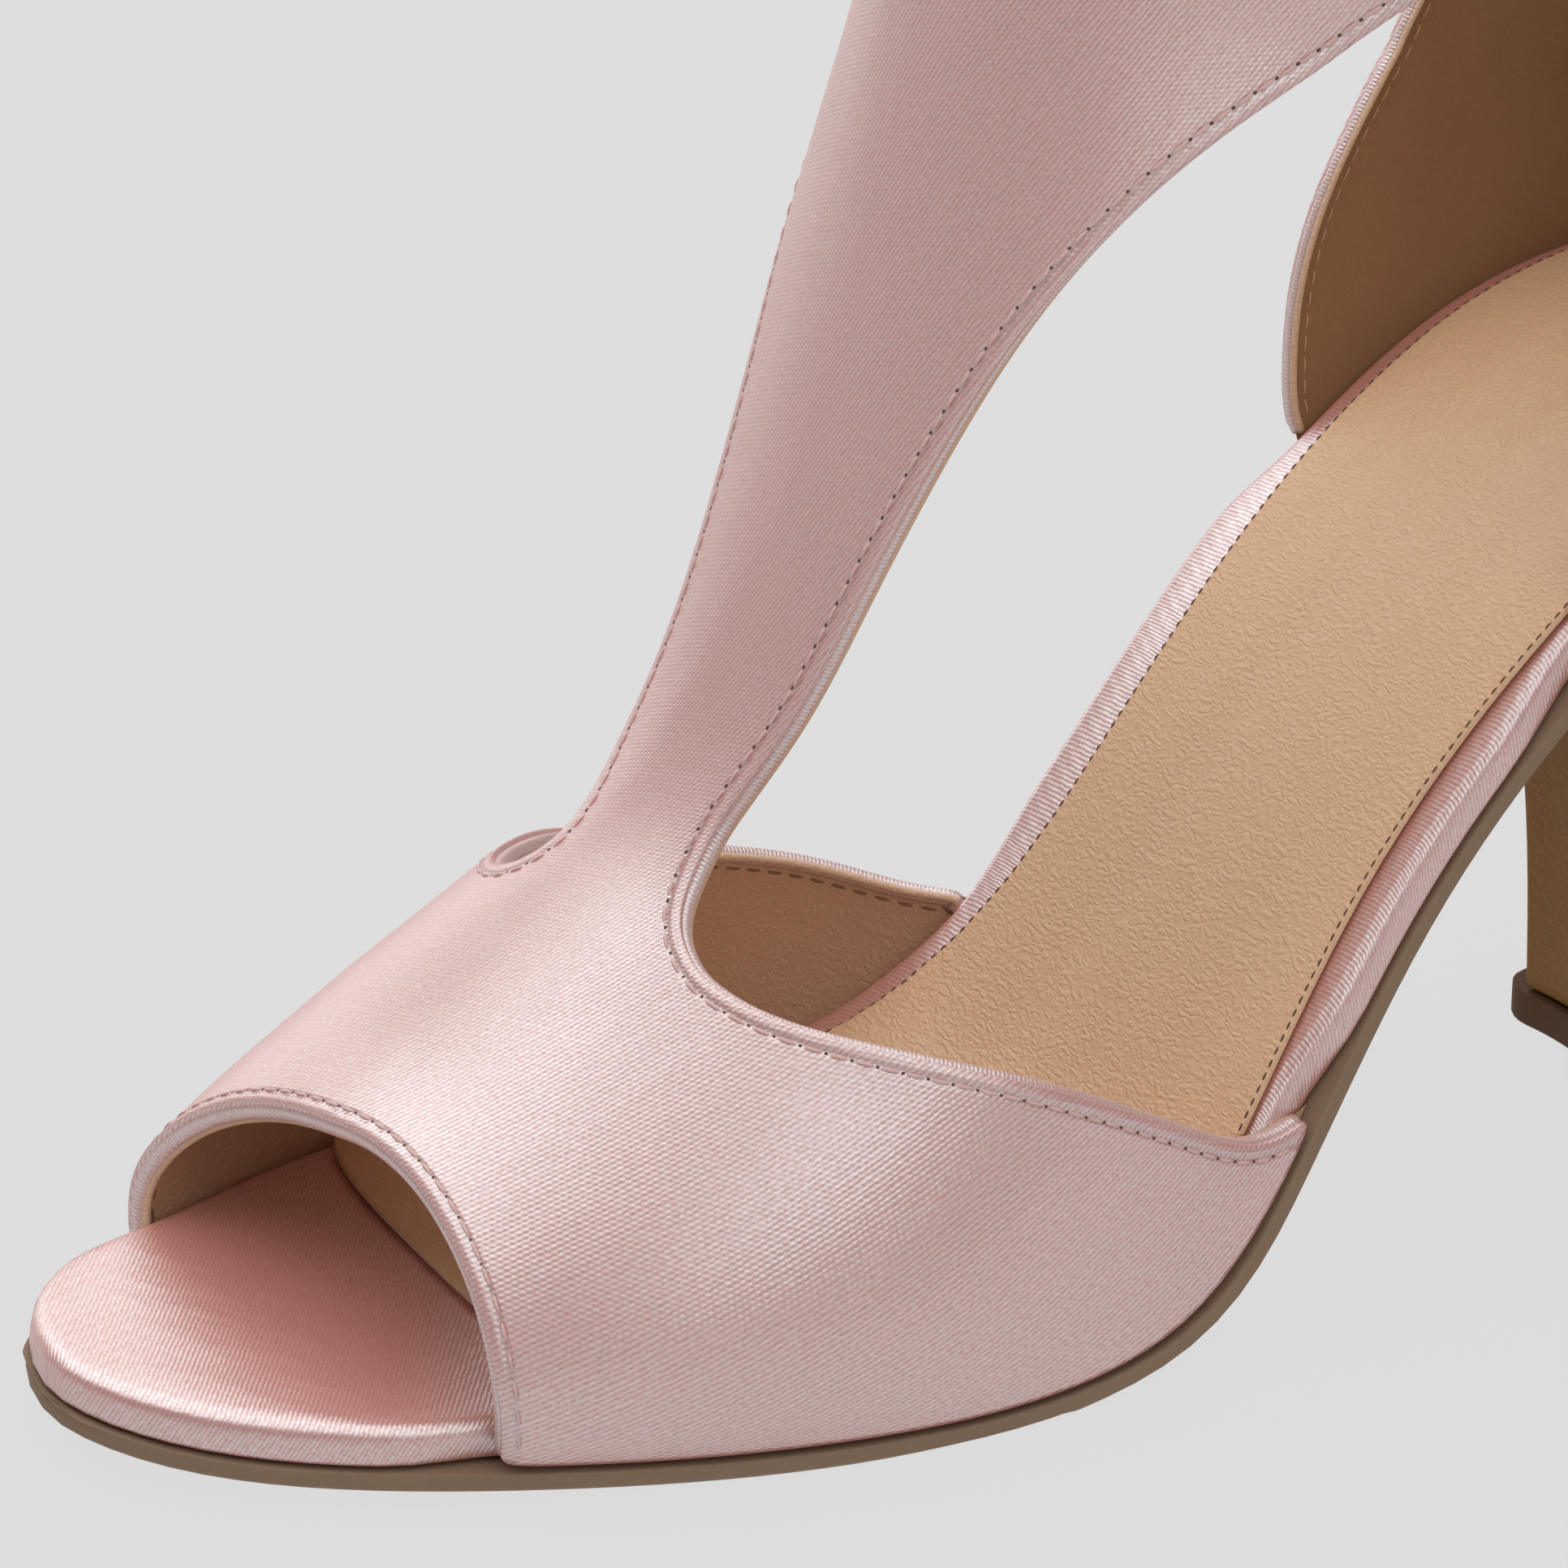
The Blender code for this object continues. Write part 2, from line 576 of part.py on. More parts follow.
def fill_pad(bm, ring, loop, place, columns=3):
    """Close a pad's face with rungs between its outer and inner side."""
    count = len(loop)
    half = count // 2
    rows = []
    for i in range(1, half):
        row = [ring[i]]
        for k in range(1, columns + 1):
            mix = k / (columns + 1)
            spot = loop[i] * (1 - mix) + loop[count - i] * mix
            row.append(bm.verts.new(to_world(place(spot[0], spot[1]))))
        row.append(ring[count - i])
        rows.append(row)
    for first, second in zip(rows[:-1], rows[1:]):
        for k in range(columns + 1):
            bm.faces.new((first[k], first[k + 1], second[k + 1], second[k]))
    for k in range(columns + 1):
        bm.faces.new((ring[0], rows[0][k + 1], rows[0][k]))
        bm.faces.new((ring[half], rows[-1][k], rows[-1][k + 1]))


def make_pad(name, last, loop, top, bottom, rounding, material, floor=None):
    """A sheet on the last's bottom between two depths, with its top and bottom edges rounded."""
    bm = bmesh.new()

    def place(across, share, depth):
        spot = last.point(across, share, depth)
        if floor is not None:
            spot[..., 2] = np.maximum(spot[..., 2], floor)
        return spot

    top_rounding, bottom_rounding = rounding
    rings = []
    for turn in np.radians(ROUNDING_TURNS):
        inset = top_rounding * (1 - math.sin(turn))
        depth = top + top_rounding * (1 - math.cos(turn))
        rings.append((inset, depth))
    rings.append((0.0, bottom - bottom_rounding))
    rings.append((bottom_rounding, bottom))
    made = []
    for inset, depth in rings:
        moved = inset_loop(loop, inset)
        made.append((add_ring(bm, place(moved[:, 0], moved[:, 1], depth)), moved, depth))
    for first, second in zip(made[:-1], made[1:]):
        bridge(bm, first[0], second[0])
    for ring, moved, depth in (made[0], made[-1]):
        fill_pad(bm, ring, moved, lambda across, share: place(across, share, depth))
    return make_object(name, bm, material)


def covered(form, side, shares):
    """How much the upper covers the side of the board, from 0 to 1."""
    vamp_end = OUTER_TOPLINE[0][0] if side > 0 else INNER_TOPLINE[0][0]
    rim = OUTER_RIM[0][0] if side > 0 else INNER_RIM[0][0]
    counter = COUNTER_FOOT
    feet = [row[2] for row in FORE_STATIONS] + [0.0]
    knots = list(range(len(FORE_STATIONS))) + [SEAT_CORNER]
    start, stop, heel = (float(monotone(knots, feet, at)) for at in (vamp_end, rim, counter))
    fade = COVER_FADE / INSOLE_LENGTH
    margin = 1 + UPPER_WALL / COVER_FADE
    front = smooth_step((shares - start) / fade + margin)
    front = front * smooth_step((stop - shares) / fade + margin)
    return np.maximum(front, smooth_step((heel - shares) / fade + margin))


def make_board(last, form, material):
    """Satin wrapped insole board, drawn in where the upper lies against its side."""
    outer = last.half_outline(1, OUTLINE_STEPS)
    inner = last.half_outline(-1, OUTLINE_STEPS)
    loop = make_loop(outer, inner)
    wrap = make_loop(
        np.stack([covered(form, 1, outer[:, 1])] * 2, -1),
        np.stack([covered(form, -1, inner[:, 1])] * 2, -1),
    )[:, 0]
    loop = inset_loop(loop, wrap * (UPPER_WALL + SIDE_GAP))
    return make_pad("insole_board", last, loop, 0.0, BOARD_THICKNESS,
                    (BOARD_ROUNDING, OUTSOLE_ROUNDING), material)


def make_outsole(last, material):
    """Thin outsole with a flat tread under the ball."""
    loop = make_loop(last.half_outline(1, OUTLINE_STEPS), last.half_outline(-1, OUTLINE_STEPS))
    loop = inset_loop(loop, -WELT)
    top = BOARD_THICKNESS + GAP
    return make_pad("outsole", last, loop, top, top + OUTSOLE_THICKNESS,
                    (OUTSOLE_ROUNDING / 2, OUTSOLE_ROUNDING), material, floor=0.0)


def make_sock(last, material):
    """Insole sock from the heel to behind the toe, with a squared front that is longer on the inner side."""
    halves = []
    for side, start in zip((1, -1), SOCK_FRONT_STARTS):
        straight = last.half_outline(side, OUTLINE_STEPS - SOCK_FRONT_STEPS, stop=start)
        width = straight[-1, 0]
        turn = np.linspace(0, math.pi / 2, SOCK_FRONT_STEPS + 1)[1:]
        power = 2 / SOCK_SQUARENESS
        across = (width + SOCK_MARGIN) * np.cos(turn) ** power - SOCK_MARGIN
        share = start + (SOCK_FRONT_END - start) * np.sin(turn) ** power
        halves.append(np.concatenate([straight, np.stack([across, share], -1)]))
    halves[1][-1] = halves[0][-1]
    loop = make_loop(*halves)
    ahead = loop[:, 1]
    fall, end = SOCK_ARCH_FALL
    arch = smooth_step(ahead / SOCK_ARCH_RISE) * (1 - smooth_step((ahead - fall) / (end - fall)))
    arch[:len(halves[0])] = 0.0
    loop = inset_loop(loop, SOCK_MARGIN + (SOCK_ARCH_MARGIN - SOCK_MARGIN) * arch)
    return make_pad("insole_sock", last, loop, -GAP - SOCK_THICKNESS, -GAP,
                    (SOCK_ROUNDING, SOCK_ROUNDING / 2), material)


def tread_loop(front, length, width, corner):
    """Plan of the heel's tread: a straight, slightly hollow front and a round back."""
    half = width / 2
    points = []
    for mix in np.linspace(-1, 1, BREAST_STEPS):
        hollow = BREAST_HOLLOW * (1 - mix ** 2)
        points.append((mix * (half - corner), front - hollow))
    for turn in np.radians(np.linspace(90, 0, CORNER_STEPS + 1)[1:]):
        points.append((half - corner + corner * math.cos(turn),
                       front - corner + corner * math.sin(turn)))
    back_centre = front - length + half
    for turn in np.linspace(0, math.pi, TREAD_STEPS + 2)[1:-1]:
        points.append((half * math.cos(turn), back_centre - half * math.sin(turn)))
    for turn in np.radians(np.linspace(180, 90, CORNER_STEPS + 1)[:-1]):
        points.append((-half + corner + corner * math.cos(turn),
                       front - corner + corner * math.sin(turn)))
    return np.array(points)


def seat_arc(last, margin, stop, count):
    """Evenly spaced points of the seat's edge, from the outer side round the heel to the inner."""
    loop = make_loop(last.half_outline(1, SEAT_STEPS), last.half_outline(-1, SEAT_STEPS))
    loop = inset_loop(loop, margin)
    outer = [spot for spot in loop[:SEAT_STEPS] if spot[1] < stop][::-1]
    inner = [spot for spot in loop[SEAT_STEPS:][::-1] if spot[1] < stop]
    first = (last.edge(1, stop) - margin, stop)
    final = (last.edge(-1, stop) + margin, stop)
    arc = np.array([first] + outer + inner + [final])
    steps = np.linalg.norm(np.diff(arc * (1.0, INSOLE_LENGTH), axis=0), axis=1)
    run = np.concatenate([[0.0], np.cumsum(steps)])
    at = np.linspace(0, run[-1], count)
    return np.stack([np.interp(at, run, arc[:, 0]), np.interp(at, run, arc[:, 1])], -1)


def heel_rings(last, foot, front_count):
    """Rings of the heel block from the seat down to the lift."""
    arc = seat_arc(last, SEAT_MARGIN, SEAT_END, len(foot) - front_count + 2)
    breast = np.stack([np.linspace(arc[-1, 0], arc[0, 0], front_count),
                       np.full(front_count, SEAT_END)], -1)
    seat = np.concatenate([breast, arc[1:-1]])
    top = last.point(seat[:, 0], seat[:, 1], last.depth + GAP)
    bottom_height = LIFT_THICKNESS + GAP
    rings = []
    for level in np.linspace(0, 1, HEEL_LEVELS):
        rise = 1 - level
        flare = FLARE_SHARE * rise + (1 - FLARE_SHARE) * rise ** FLARE_POWER
        sweep = SWEEP_SHARE * rise + (1 - SWEEP_SHARE) * rise ** FLARE_POWER
        across = foot[:, 0] + (top[:, 0] - foot[:, 0]) * flare
        forward = foot[:, 1] + (top[:, 1] - foot[:, 1]) * sweep
        height = bottom_height + (top[:, 2] - bottom_height) * rise
        rings.append(np.stack([across, forward, height], -1))
    return rings


def close_stack(bm, rings):
    """Solid from a stack of rings, with its top and bottom filled."""
    made = [add_ring(bm, ring) for ring in rings]
    for upper, lower in zip(made[:-1], made[1:]):
        bridge(bm, upper, lower)
    caps = [bm.faces.new(made[0]), bm.faces.new(made[-1])]
    bmesh.ops.triangulate(bm, faces=caps)


def make_heel_block(rings, material):
    """Satin covered block under the seat."""
    bm = bmesh.new()
    close_stack(bm, rings)
    return make_object("heel_block", bm, material)


def make_lift(material):
    """Top lift: a flat plate under the heel with a small chamfer below."""
    loop = tread_loop(HEEL_TREAD_FRONT, HEEL_TREAD_LENGTH, HEEL_TREAD_WIDTH, LIFT_CORNER)
    small = tread_loop(HEEL_TREAD_FRONT - LIFT_CHAMFER, HEEL_TREAD_LENGTH - 2 * LIFT_CHAMFER,
                       HEEL_TREAD_WIDTH - 2 * LIFT_CHAMFER, LIFT_CORNER - LIFT_CHAMFER)
    rings = []
    for plan, height in ((loop, LIFT_THICKNESS), (loop, LIFT_CHAMFER), (small, 0.0)):
        rings.append(np.stack([plan[:, 0], plan[:, 1], np.full(len(plan), height)], -1))
    bm = bmesh.new()
    close_stack(bm, rings)
    return make_object("top_lift", bm, material)


def make_breast(last, rings, front_count, material):
    """Cover on the heel's breast, between the outsole and the top lift."""
    bm = bmesh.new()
    layers = []
    for offset in (GAP, GAP + BREAST_THICKNESS):
        under = last.point(rings[0][:front_count, 0], SEAT_END + offset / INSOLE_LENGTH,
                           last.depth + GAP)
        rows = [[bm.verts.new(point) for point in to_world(under)]]
        for ring in rings[1:]:
            points = ring[:front_count].copy()
            points[:, 1] += offset
            rows.append([bm.verts.new(point) for point in to_world(points)])
        layers.append(rows)
    back, front = layers
    for i in range(len(rings) - 1):
        for k in range(front_count - 1):
            for rows in layers:
                bm.faces.new((rows[i][k], rows[i][k + 1], rows[i + 1][k + 1], rows[i + 1][k]))
        for k in (0, front_count - 1):
            bm.faces.new((back[i][k], front[i][k], front[i + 1][k], back[i + 1][k]))
    for i in (0, len(rings) - 1):
        for k in range(front_count - 1):
            bm.faces.new((back[i][k], back[i][k + 1], front[i][k + 1], front[i][k]))
    return make_object("heel_breast_cover", bm, material)


def make_heel(last, satin, cover, rubber):
    """Heel block, the cover on its breast and its top lift."""
    inset = LIFT_STEP + BREAST_THICKNESS + GAP
    foot = tread_loop(HEEL_TREAD_FRONT - inset, HEEL_TREAD_LENGTH - inset - LIFT_STEP,
                      HEEL_TREAD_WIDTH - 2 * LIFT_STEP, LIFT_CORNER - LIFT_STEP)
    rings = heel_rings(last, foot, BREAST_STEPS)
    make_heel_block(rings, satin)
    make_breast(last, rings, BREAST_STEPS, cover)
    make_lift(rubber)


def fine_line(rows):
    """Smooth line through rows, and the indices at which it passes them."""
    rows = np.array(rows)
    chords = np.linalg.norm(np.diff(rows, axis=0), axis=1)
    knots = np.concatenate([[0.0], np.cumsum(chords)]) / chords.sum()
    return smooth(rows, np.linspace(0, 1, FINE_STEPS)), np.round(knots * (FINE_STEPS - 1)).astype(int)


def even_line(form, side, line, count):
    """Line of (station, span) cut into steps that are equally long on the form."""
    points = form.point(side, line[:, 0], line[:, 1])
    run = np.concatenate([[0.0], np.cumsum(np.linalg.norm(np.diff(points, axis=0), axis=1))])
    at = np.linspace(0, run[-1], count + 1)
    return np.stack([np.interp(at, run, line[:, 0]), np.interp(at, run, line[:, 1])], -1)


def join_lines(lines):
    """One line from pieces that share their end points."""
    return np.concatenate([lines[0]] + [line[1:] for line in lines[1:]])


def straight_line(start, stop, span, count):
    """Stations evenly spaced along the ridge or the back line."""
    stations = np.linspace(start, stop, count + 1)
    return np.stack([stations, np.full(count + 1, span)], -1)


def band_edges(form, side):
    """Matched inner and outer edges of one half of the upper, as rows of (station, span)."""
    topline = list(OUTER_TOPLINE if side > 0 else INNER_TOPLINE)
    strap = form.strap_edge(side)
    behind, marks = form.side_line(side, strap)
    scale = (1.0, SECTION_STATIONS)
    ahead, at = fine_line(np.array(topline + strap + [tuple(behind[marks[1]])]) * scale)
    throat = min(range(len(topline)), key=lambda k: topline[k][0])
    end = at[len(topline) + len(strap) - 1]
    line = np.concatenate([ahead[:end] / scale, behind])
    stops = [0, at[throat], at[len(topline)], end + marks[1 + WING_TURN],
             end + marks[1 + COUNTER_TURN], len(line) - 1]
    inner = join_lines([even_line(form, side, line[first:final + 1], count)
                        for first, final, count in zip(stops[:-1], stops[1:], BAND_STEPS)])
    rim = fine_line(np.array(OUTER_RIM if side > 0 else INNER_RIM) * scale)[0] / scale
    collar = fine_line(np.array(COLLAR_EDGE) * scale)[0] / scale
    rim_steps, throat_steps, strap_steps, collar_steps, back_steps = BAND_STEPS
    collar_front = COLLAR_EDGE[0][0]
    outer = join_lines([
        even_line(form, side, rim, rim_steps),
        straight_line(OUTER_RIM[-1][0], OUTER_STRAP[0][0], 0.0, throat_steps),
        straight_line(OUTER_STRAP[0][0], collar_front, 0.0, strap_steps),
        even_line(form, side, collar, collar_steps),
        straight_line(COLLAR_EDGE[-1][0], SEAT_CORNER, 1.0, back_steps),
    ])
    return inner, np.clip(outer, (0.0, 0.0), (form.count - 1.0, 1.0))


def band_points(form, side, rows):
    """Grid of points over one half of the upper."""
    inner, outer = band_edges(form, side)
    mix = np.broadcast_to(np.linspace(0, 1, rows + 1), (len(inner), rows + 1))
    spots = inner[:, None, :] * (1 - mix[..., None]) + outer[:, None, :] * mix[..., None]
    back = sum(BAND_STEPS[:3])
    ease = smooth_step(np.arange(len(inner) - back) / BAND_STEPS[3])[:, None, None]
    rounded = form.round_heel(side, inner[back:], outer[back:], mix[back:])
    spots[back:] = spots[back:] * (1 - ease) + rounded * ease
    return form.point(side, spots[..., 0], np.clip(spots[..., 1], 0.0, 1.0))


def make_upper(form, material):
    """Vamp, strap, wings and counter as one wall, joined along the ridge and the back."""
    bm = bmesh.new()
    for side in (1, -1):
        grid = to_world(band_points(form, side, BAND_ROWS))
        verts = [[bm.verts.new(point) for point in row] for row in grid]
        for i in range(len(verts) - 1):
            for k in range(BAND_ROWS):
                corners = [verts[i][k], verts[i][k + 1], verts[i + 1][k + 1], verts[i + 1][k]]
                bm.faces.new(corners if side > 0 else corners[::-1])
    bmesh.ops.remove_doubles(bm, verts=bm.verts, dist=WELD_DISTANCE)
    bmesh.ops.recalc_face_normals(bm, faces=bm.faces)
    made = make_object("upper", bm, material)
    wall = made.modifiers.new("Wall", "SOLIDIFY")
    wall.thickness = UPPER_WALL
    wall.offset = -1.0
    wall.use_even_offset = False
    return made


def clear_scene():
    """Remove every object of the scene."""
    for item in list(bpy.data.objects):
        bpy.data.objects.remove(item, do_unlink=True)


def main():
    """Build the sandal, sole first."""
    clear_scene()
    satin = find_material("rose_satin", (0.62, 0.42, 0.39), 0.38)
    tan = find_material("tan_sock_leather", (0.48, 0.29, 0.17), 0.48)
    taupe = find_material("taupe_outsole", (0.22, 0.13, 0.08), 0.55)
    brown = find_material("brown_breast_leather", (0.20, 0.10, 0.04), 0.5)
    rubber = find_material("dark_top_lift", (0.06, 0.025, 0.012), 0.6)
    last = Last()
    form = UpperForm(last)
    make_outsole(last, taupe)
    make_board(last, form, satin)
    make_sock(last, tan)
    make_heel(last, satin, brown, rubber)
    make_upper(form, satin)


if __name__ == "__main__":
    main()
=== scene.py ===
"""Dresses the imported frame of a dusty-pink satin T-strap heeled sandal, left shoe.

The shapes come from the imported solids: each sub-assembly takes its node's surface, rounds it,
lays out the cloth over it and adds the bindings, stitches and linings that the solids leave out.
All lengths are in metres, with the toe towards -Y and the outer side of the foot towards +X.
"""
from __future__ import annotations

import heapq
import logging
import math
from dataclasses import dataclass, field
from enum import Enum
from typing import Callable, Sequence

import bmesh
import bpy
import numpy as np
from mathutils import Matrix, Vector
from mathutils.bvhtree import BVHTree
from mathutils.kdtree import KDTree


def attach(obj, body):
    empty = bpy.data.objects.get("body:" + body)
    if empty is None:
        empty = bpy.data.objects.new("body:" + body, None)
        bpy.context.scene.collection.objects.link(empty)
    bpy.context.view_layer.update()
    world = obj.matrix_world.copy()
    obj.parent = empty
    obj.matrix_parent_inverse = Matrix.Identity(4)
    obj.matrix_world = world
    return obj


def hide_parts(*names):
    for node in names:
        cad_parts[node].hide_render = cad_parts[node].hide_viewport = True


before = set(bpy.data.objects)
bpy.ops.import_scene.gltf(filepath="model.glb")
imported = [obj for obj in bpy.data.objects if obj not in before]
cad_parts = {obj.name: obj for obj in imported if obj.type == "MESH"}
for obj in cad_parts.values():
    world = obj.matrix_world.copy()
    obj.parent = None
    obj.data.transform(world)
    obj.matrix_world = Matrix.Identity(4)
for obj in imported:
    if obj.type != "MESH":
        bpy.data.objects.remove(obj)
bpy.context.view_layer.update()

Colour = tuple[float, float, float, float]
Scale = tuple[float, float, float]
Socket = bpy.types.NodeSocket
logger = logging.getLogger("sandal")

UP = np.array([[0.0, 0.0, 1.0]])


class Slot(Enum):
    """The material slots of the record."""

    SATIN = "rose_satin"
    SOCK = "tan_sock_leather"
    SOLE = "taupe_outsole"
    BREAST = "brown_breast_leather"
    LIFT = "dark_top_lift"


class Skin(Enum):
    """What a face of the upper's wall belongs to."""

    OUTER = 0
    RIM = 1
    INNER = 2


class EdgeRun(Enum):
    """The free edges of the upper, by where they lie on the shoe."""

    PEEP = "peep"
    OUTER_SIDE = "outer_side"
    INNER_SIDE = "inner_side"
    COLLAR = "collar"


# Materials


class NodeSketch:
    """Builds the node tree of one material, one short call a node."""

    def __init__(self, name: str) -> None:
        """Starts a material with a Principled shader on its output.

        Args:
            name: The material's name.
        """
        self.material = bpy.data.materials.new(name)
        self.material.use_nodes = True
        self.tree = self.material.node_tree
        self.tree.nodes.clear()
        output = self.tree.nodes.new("ShaderNodeOutputMaterial")
        self.shader = self.tree.nodes.new("ShaderNodeBsdfPrincipled")
        self.tree.links.new(self.shader.outputs["BSDF"], output.inputs["Surface"])

    def feed(self, socket: Socket, value: object) -> None:
        """Links a socket into another, or sets a plain value on it.

        Args:
            socket: The input.
            value: A socket to link from, or the value.
        """
        if isinstance(value, bpy.types.NodeSocket):
            self.tree.links.new(value, socket)
        else:
            socket.default_value = value

    def place(self) -> Socket:
        """Gives the place on the object, in metres."""
        return self.tree.nodes.new("ShaderNodeTexCoord").outputs["Object"]

    def split(self, vector: Socket) -> tuple[Socket, Socket, Socket]:
        """Parts a vector into its three numbers.

        Args:
            vector: The vector.

        Returns:
            The three numbers.
        """
        node = self.tree.nodes.new("ShaderNodeSeparateXYZ")
        self.feed(node.inputs["Vector"], vector)
        return node.outputs["X"], node.outputs["Y"], node.outputs["Z"]

    def cloth(self, layer: str) -> tuple[Socket, Socket]:
        """Gives the two coordinates of the flat cloth, in metres.

        Args:
            layer: The name of the UV layer.

        Returns:
            The sockets along the thread and across it.
        """
        node = self.tree.nodes.new("ShaderNodeUVMap")
        node.uv_map = layer
        return self.split(node.outputs["UV"])[:2]

    def point(self, x: object, y: object, z: object = 0.0) -> Socket:
        """Joins three numbers into a vector.

        Args:
            x: The first number or its socket.
            y: The second.
            z: The third.

        Returns:
            The vector.
        """
        node = self.tree.nodes.new("ShaderNodeCombineXYZ")
        for socket, value in zip(node.inputs, (x, y, z)):
            self.feed(socket, value)
        return node.outputs["Vector"]

    def math(self, operation: str, first: object, second: object = 0.0) -> Socket:
        """Gives the result of one arithmetic step.

        Args:
            operation: The step, as the Math node names it.
            first: The first number or its socket.
            second: The second, where the step takes two.

        Returns:
            The result.
        """
        node = self.tree.nodes.new("ShaderNodeMath")
        node.operation = operation
        self.feed(node.inputs[0], first)
        self.feed(node.inputs[1], second)
        return node.outputs["Value"]

    def gathered(self, *parts: tuple[Socket, float], start: float = 0.0) -> Socket:
        """Adds up shares of several numbers.

        Args:
            parts: Each number with its share.
            start: What the sum starts from.

        Returns:
            The sum.
        """
        total: object = start
        for number, share in parts:
            total = self.math("ADD", total, self.math("MULTIPLY", number, share))
        return total

    def wave(self, phase: Socket) -> Socket:
        """Gives a sine wave between 0 and 1."""
        return self.math("ADD", self.math("MULTIPLY", self.math("SINE", phase), 0.5), 0.5)

    def stretched(self, vector: Socket, scale: Sequence[float]) -> Socket:
        """Multiplies a vector part by part.

        Args:
            vector: The vector.
            scale: The three factors.

        Returns:
            The stretched vector.
        """
        node = self.tree.nodes.new("ShaderNodeVectorMath")
        node.operation = "MULTIPLY"
        self.feed(node.inputs[0], vector)
        node.inputs[1].default_value = tuple(scale)
        return node.outputs["Vector"]

    def noise(self, vector: Socket, scale: float, detail: float = 2.0) -> Socket:
        """Gives smooth noise between 0 and 1.

        Args:
            vector: Where it is read.
            scale: How many of its lumps fit in a unit of the vector.
            detail: How many finer layers it has.

        Returns:
            The noise.
        """
        node = self.tree.nodes.new("ShaderNodeTexNoise")
        self.feed(node.inputs["Vector"], vector)
        node.inputs["Scale"].default_value = scale
        node.inputs["Detail"].default_value = detail
        return node.outputs["Fac"]

    def cells(self, vector: Socket, scale: float) -> Socket:
        """Gives the distance to the nearest of many scattered points.

        Args:
            vector: Where it is read.
            scale: How many points fit in a unit of the vector.

        Returns:
            The distance.
        """
        node = self.tree.nodes.new("ShaderNodeTexVoronoi")
        self.feed(node.inputs["Vector"], vector)
        node.inputs["Scale"].default_value = scale
        return node.outputs["Distance"]

    def measure(self, name: str) -> Socket:
        """Reads a number kept on the mesh.

        Args:
            name: The attribute's name.

        Returns:
            The number.
        """
        node = self.tree.nodes.new("ShaderNodeAttribute")
        node.attribute_name = name
        return node.outputs["Fac"]

    def ease(self, value: Socket, low: float, high: float) -> Socket:
        """Rises smoothly from 0 at low to 1 at high.

        Args:
            value: The number that is read.
            low: Where the rise starts.
            high: Where it ends.

        Returns:
            The eased number.
        """
        node = self.tree.nodes.new("ShaderNodeMapRange")
        node.interpolation_type = "SMOOTHSTEP"
        self.feed(node.inputs["Value"], value)
        node.inputs["From Min"].default_value = low
        node.inputs["From Max"].default_value = high
        return node.outputs["Result"]

    def tint(self, share: object, first: object, second: object) -> Socket:
        """Mixes two colours.

        Args:
            share: How much of the second colour there is.
            first: The first colour.
            second: The second colour.

        Returns:
            The mixed colour.
        """
        node = self.tree.nodes.new("ShaderNodeMix")
        node.data_type = "RGBA"
        mix_factor, mix_first, mix_second, mix_result = 0, 6, 7, 2
        self.feed(node.inputs[mix_factor], share)
        self.feed(node.inputs[mix_first], first)
        self.feed(node.inputs[mix_second], second)
        return node.outputs[mix_result]

    def bump(self, height: Socket, depth: float, under: Socket | None = None) -> Socket:
        """Turns a height between 0 and 1 into a normal.

        Args:
            height: The height.
            depth: The height that 1 stands for, in metres.
            under: A bumped normal that this one lies on.

        Returns:
            The normal.
        """
        node = self.tree.nodes.new("ShaderNodeBump")
        node.inputs["Distance"].default_value = depth
        self.feed(node.inputs["Height"], height)
        if under is not None:
            self.feed(node.inputs["Normal"], under)
        return node.outputs["Normal"]

    def settle(self, **values: object) -> None:
        """Sets the shader's sockets, with the spaces of their names written as underscores."""
        for name, value in values.items():
            self.feed(self.shader.inputs[name.replace("_", " ")], value)


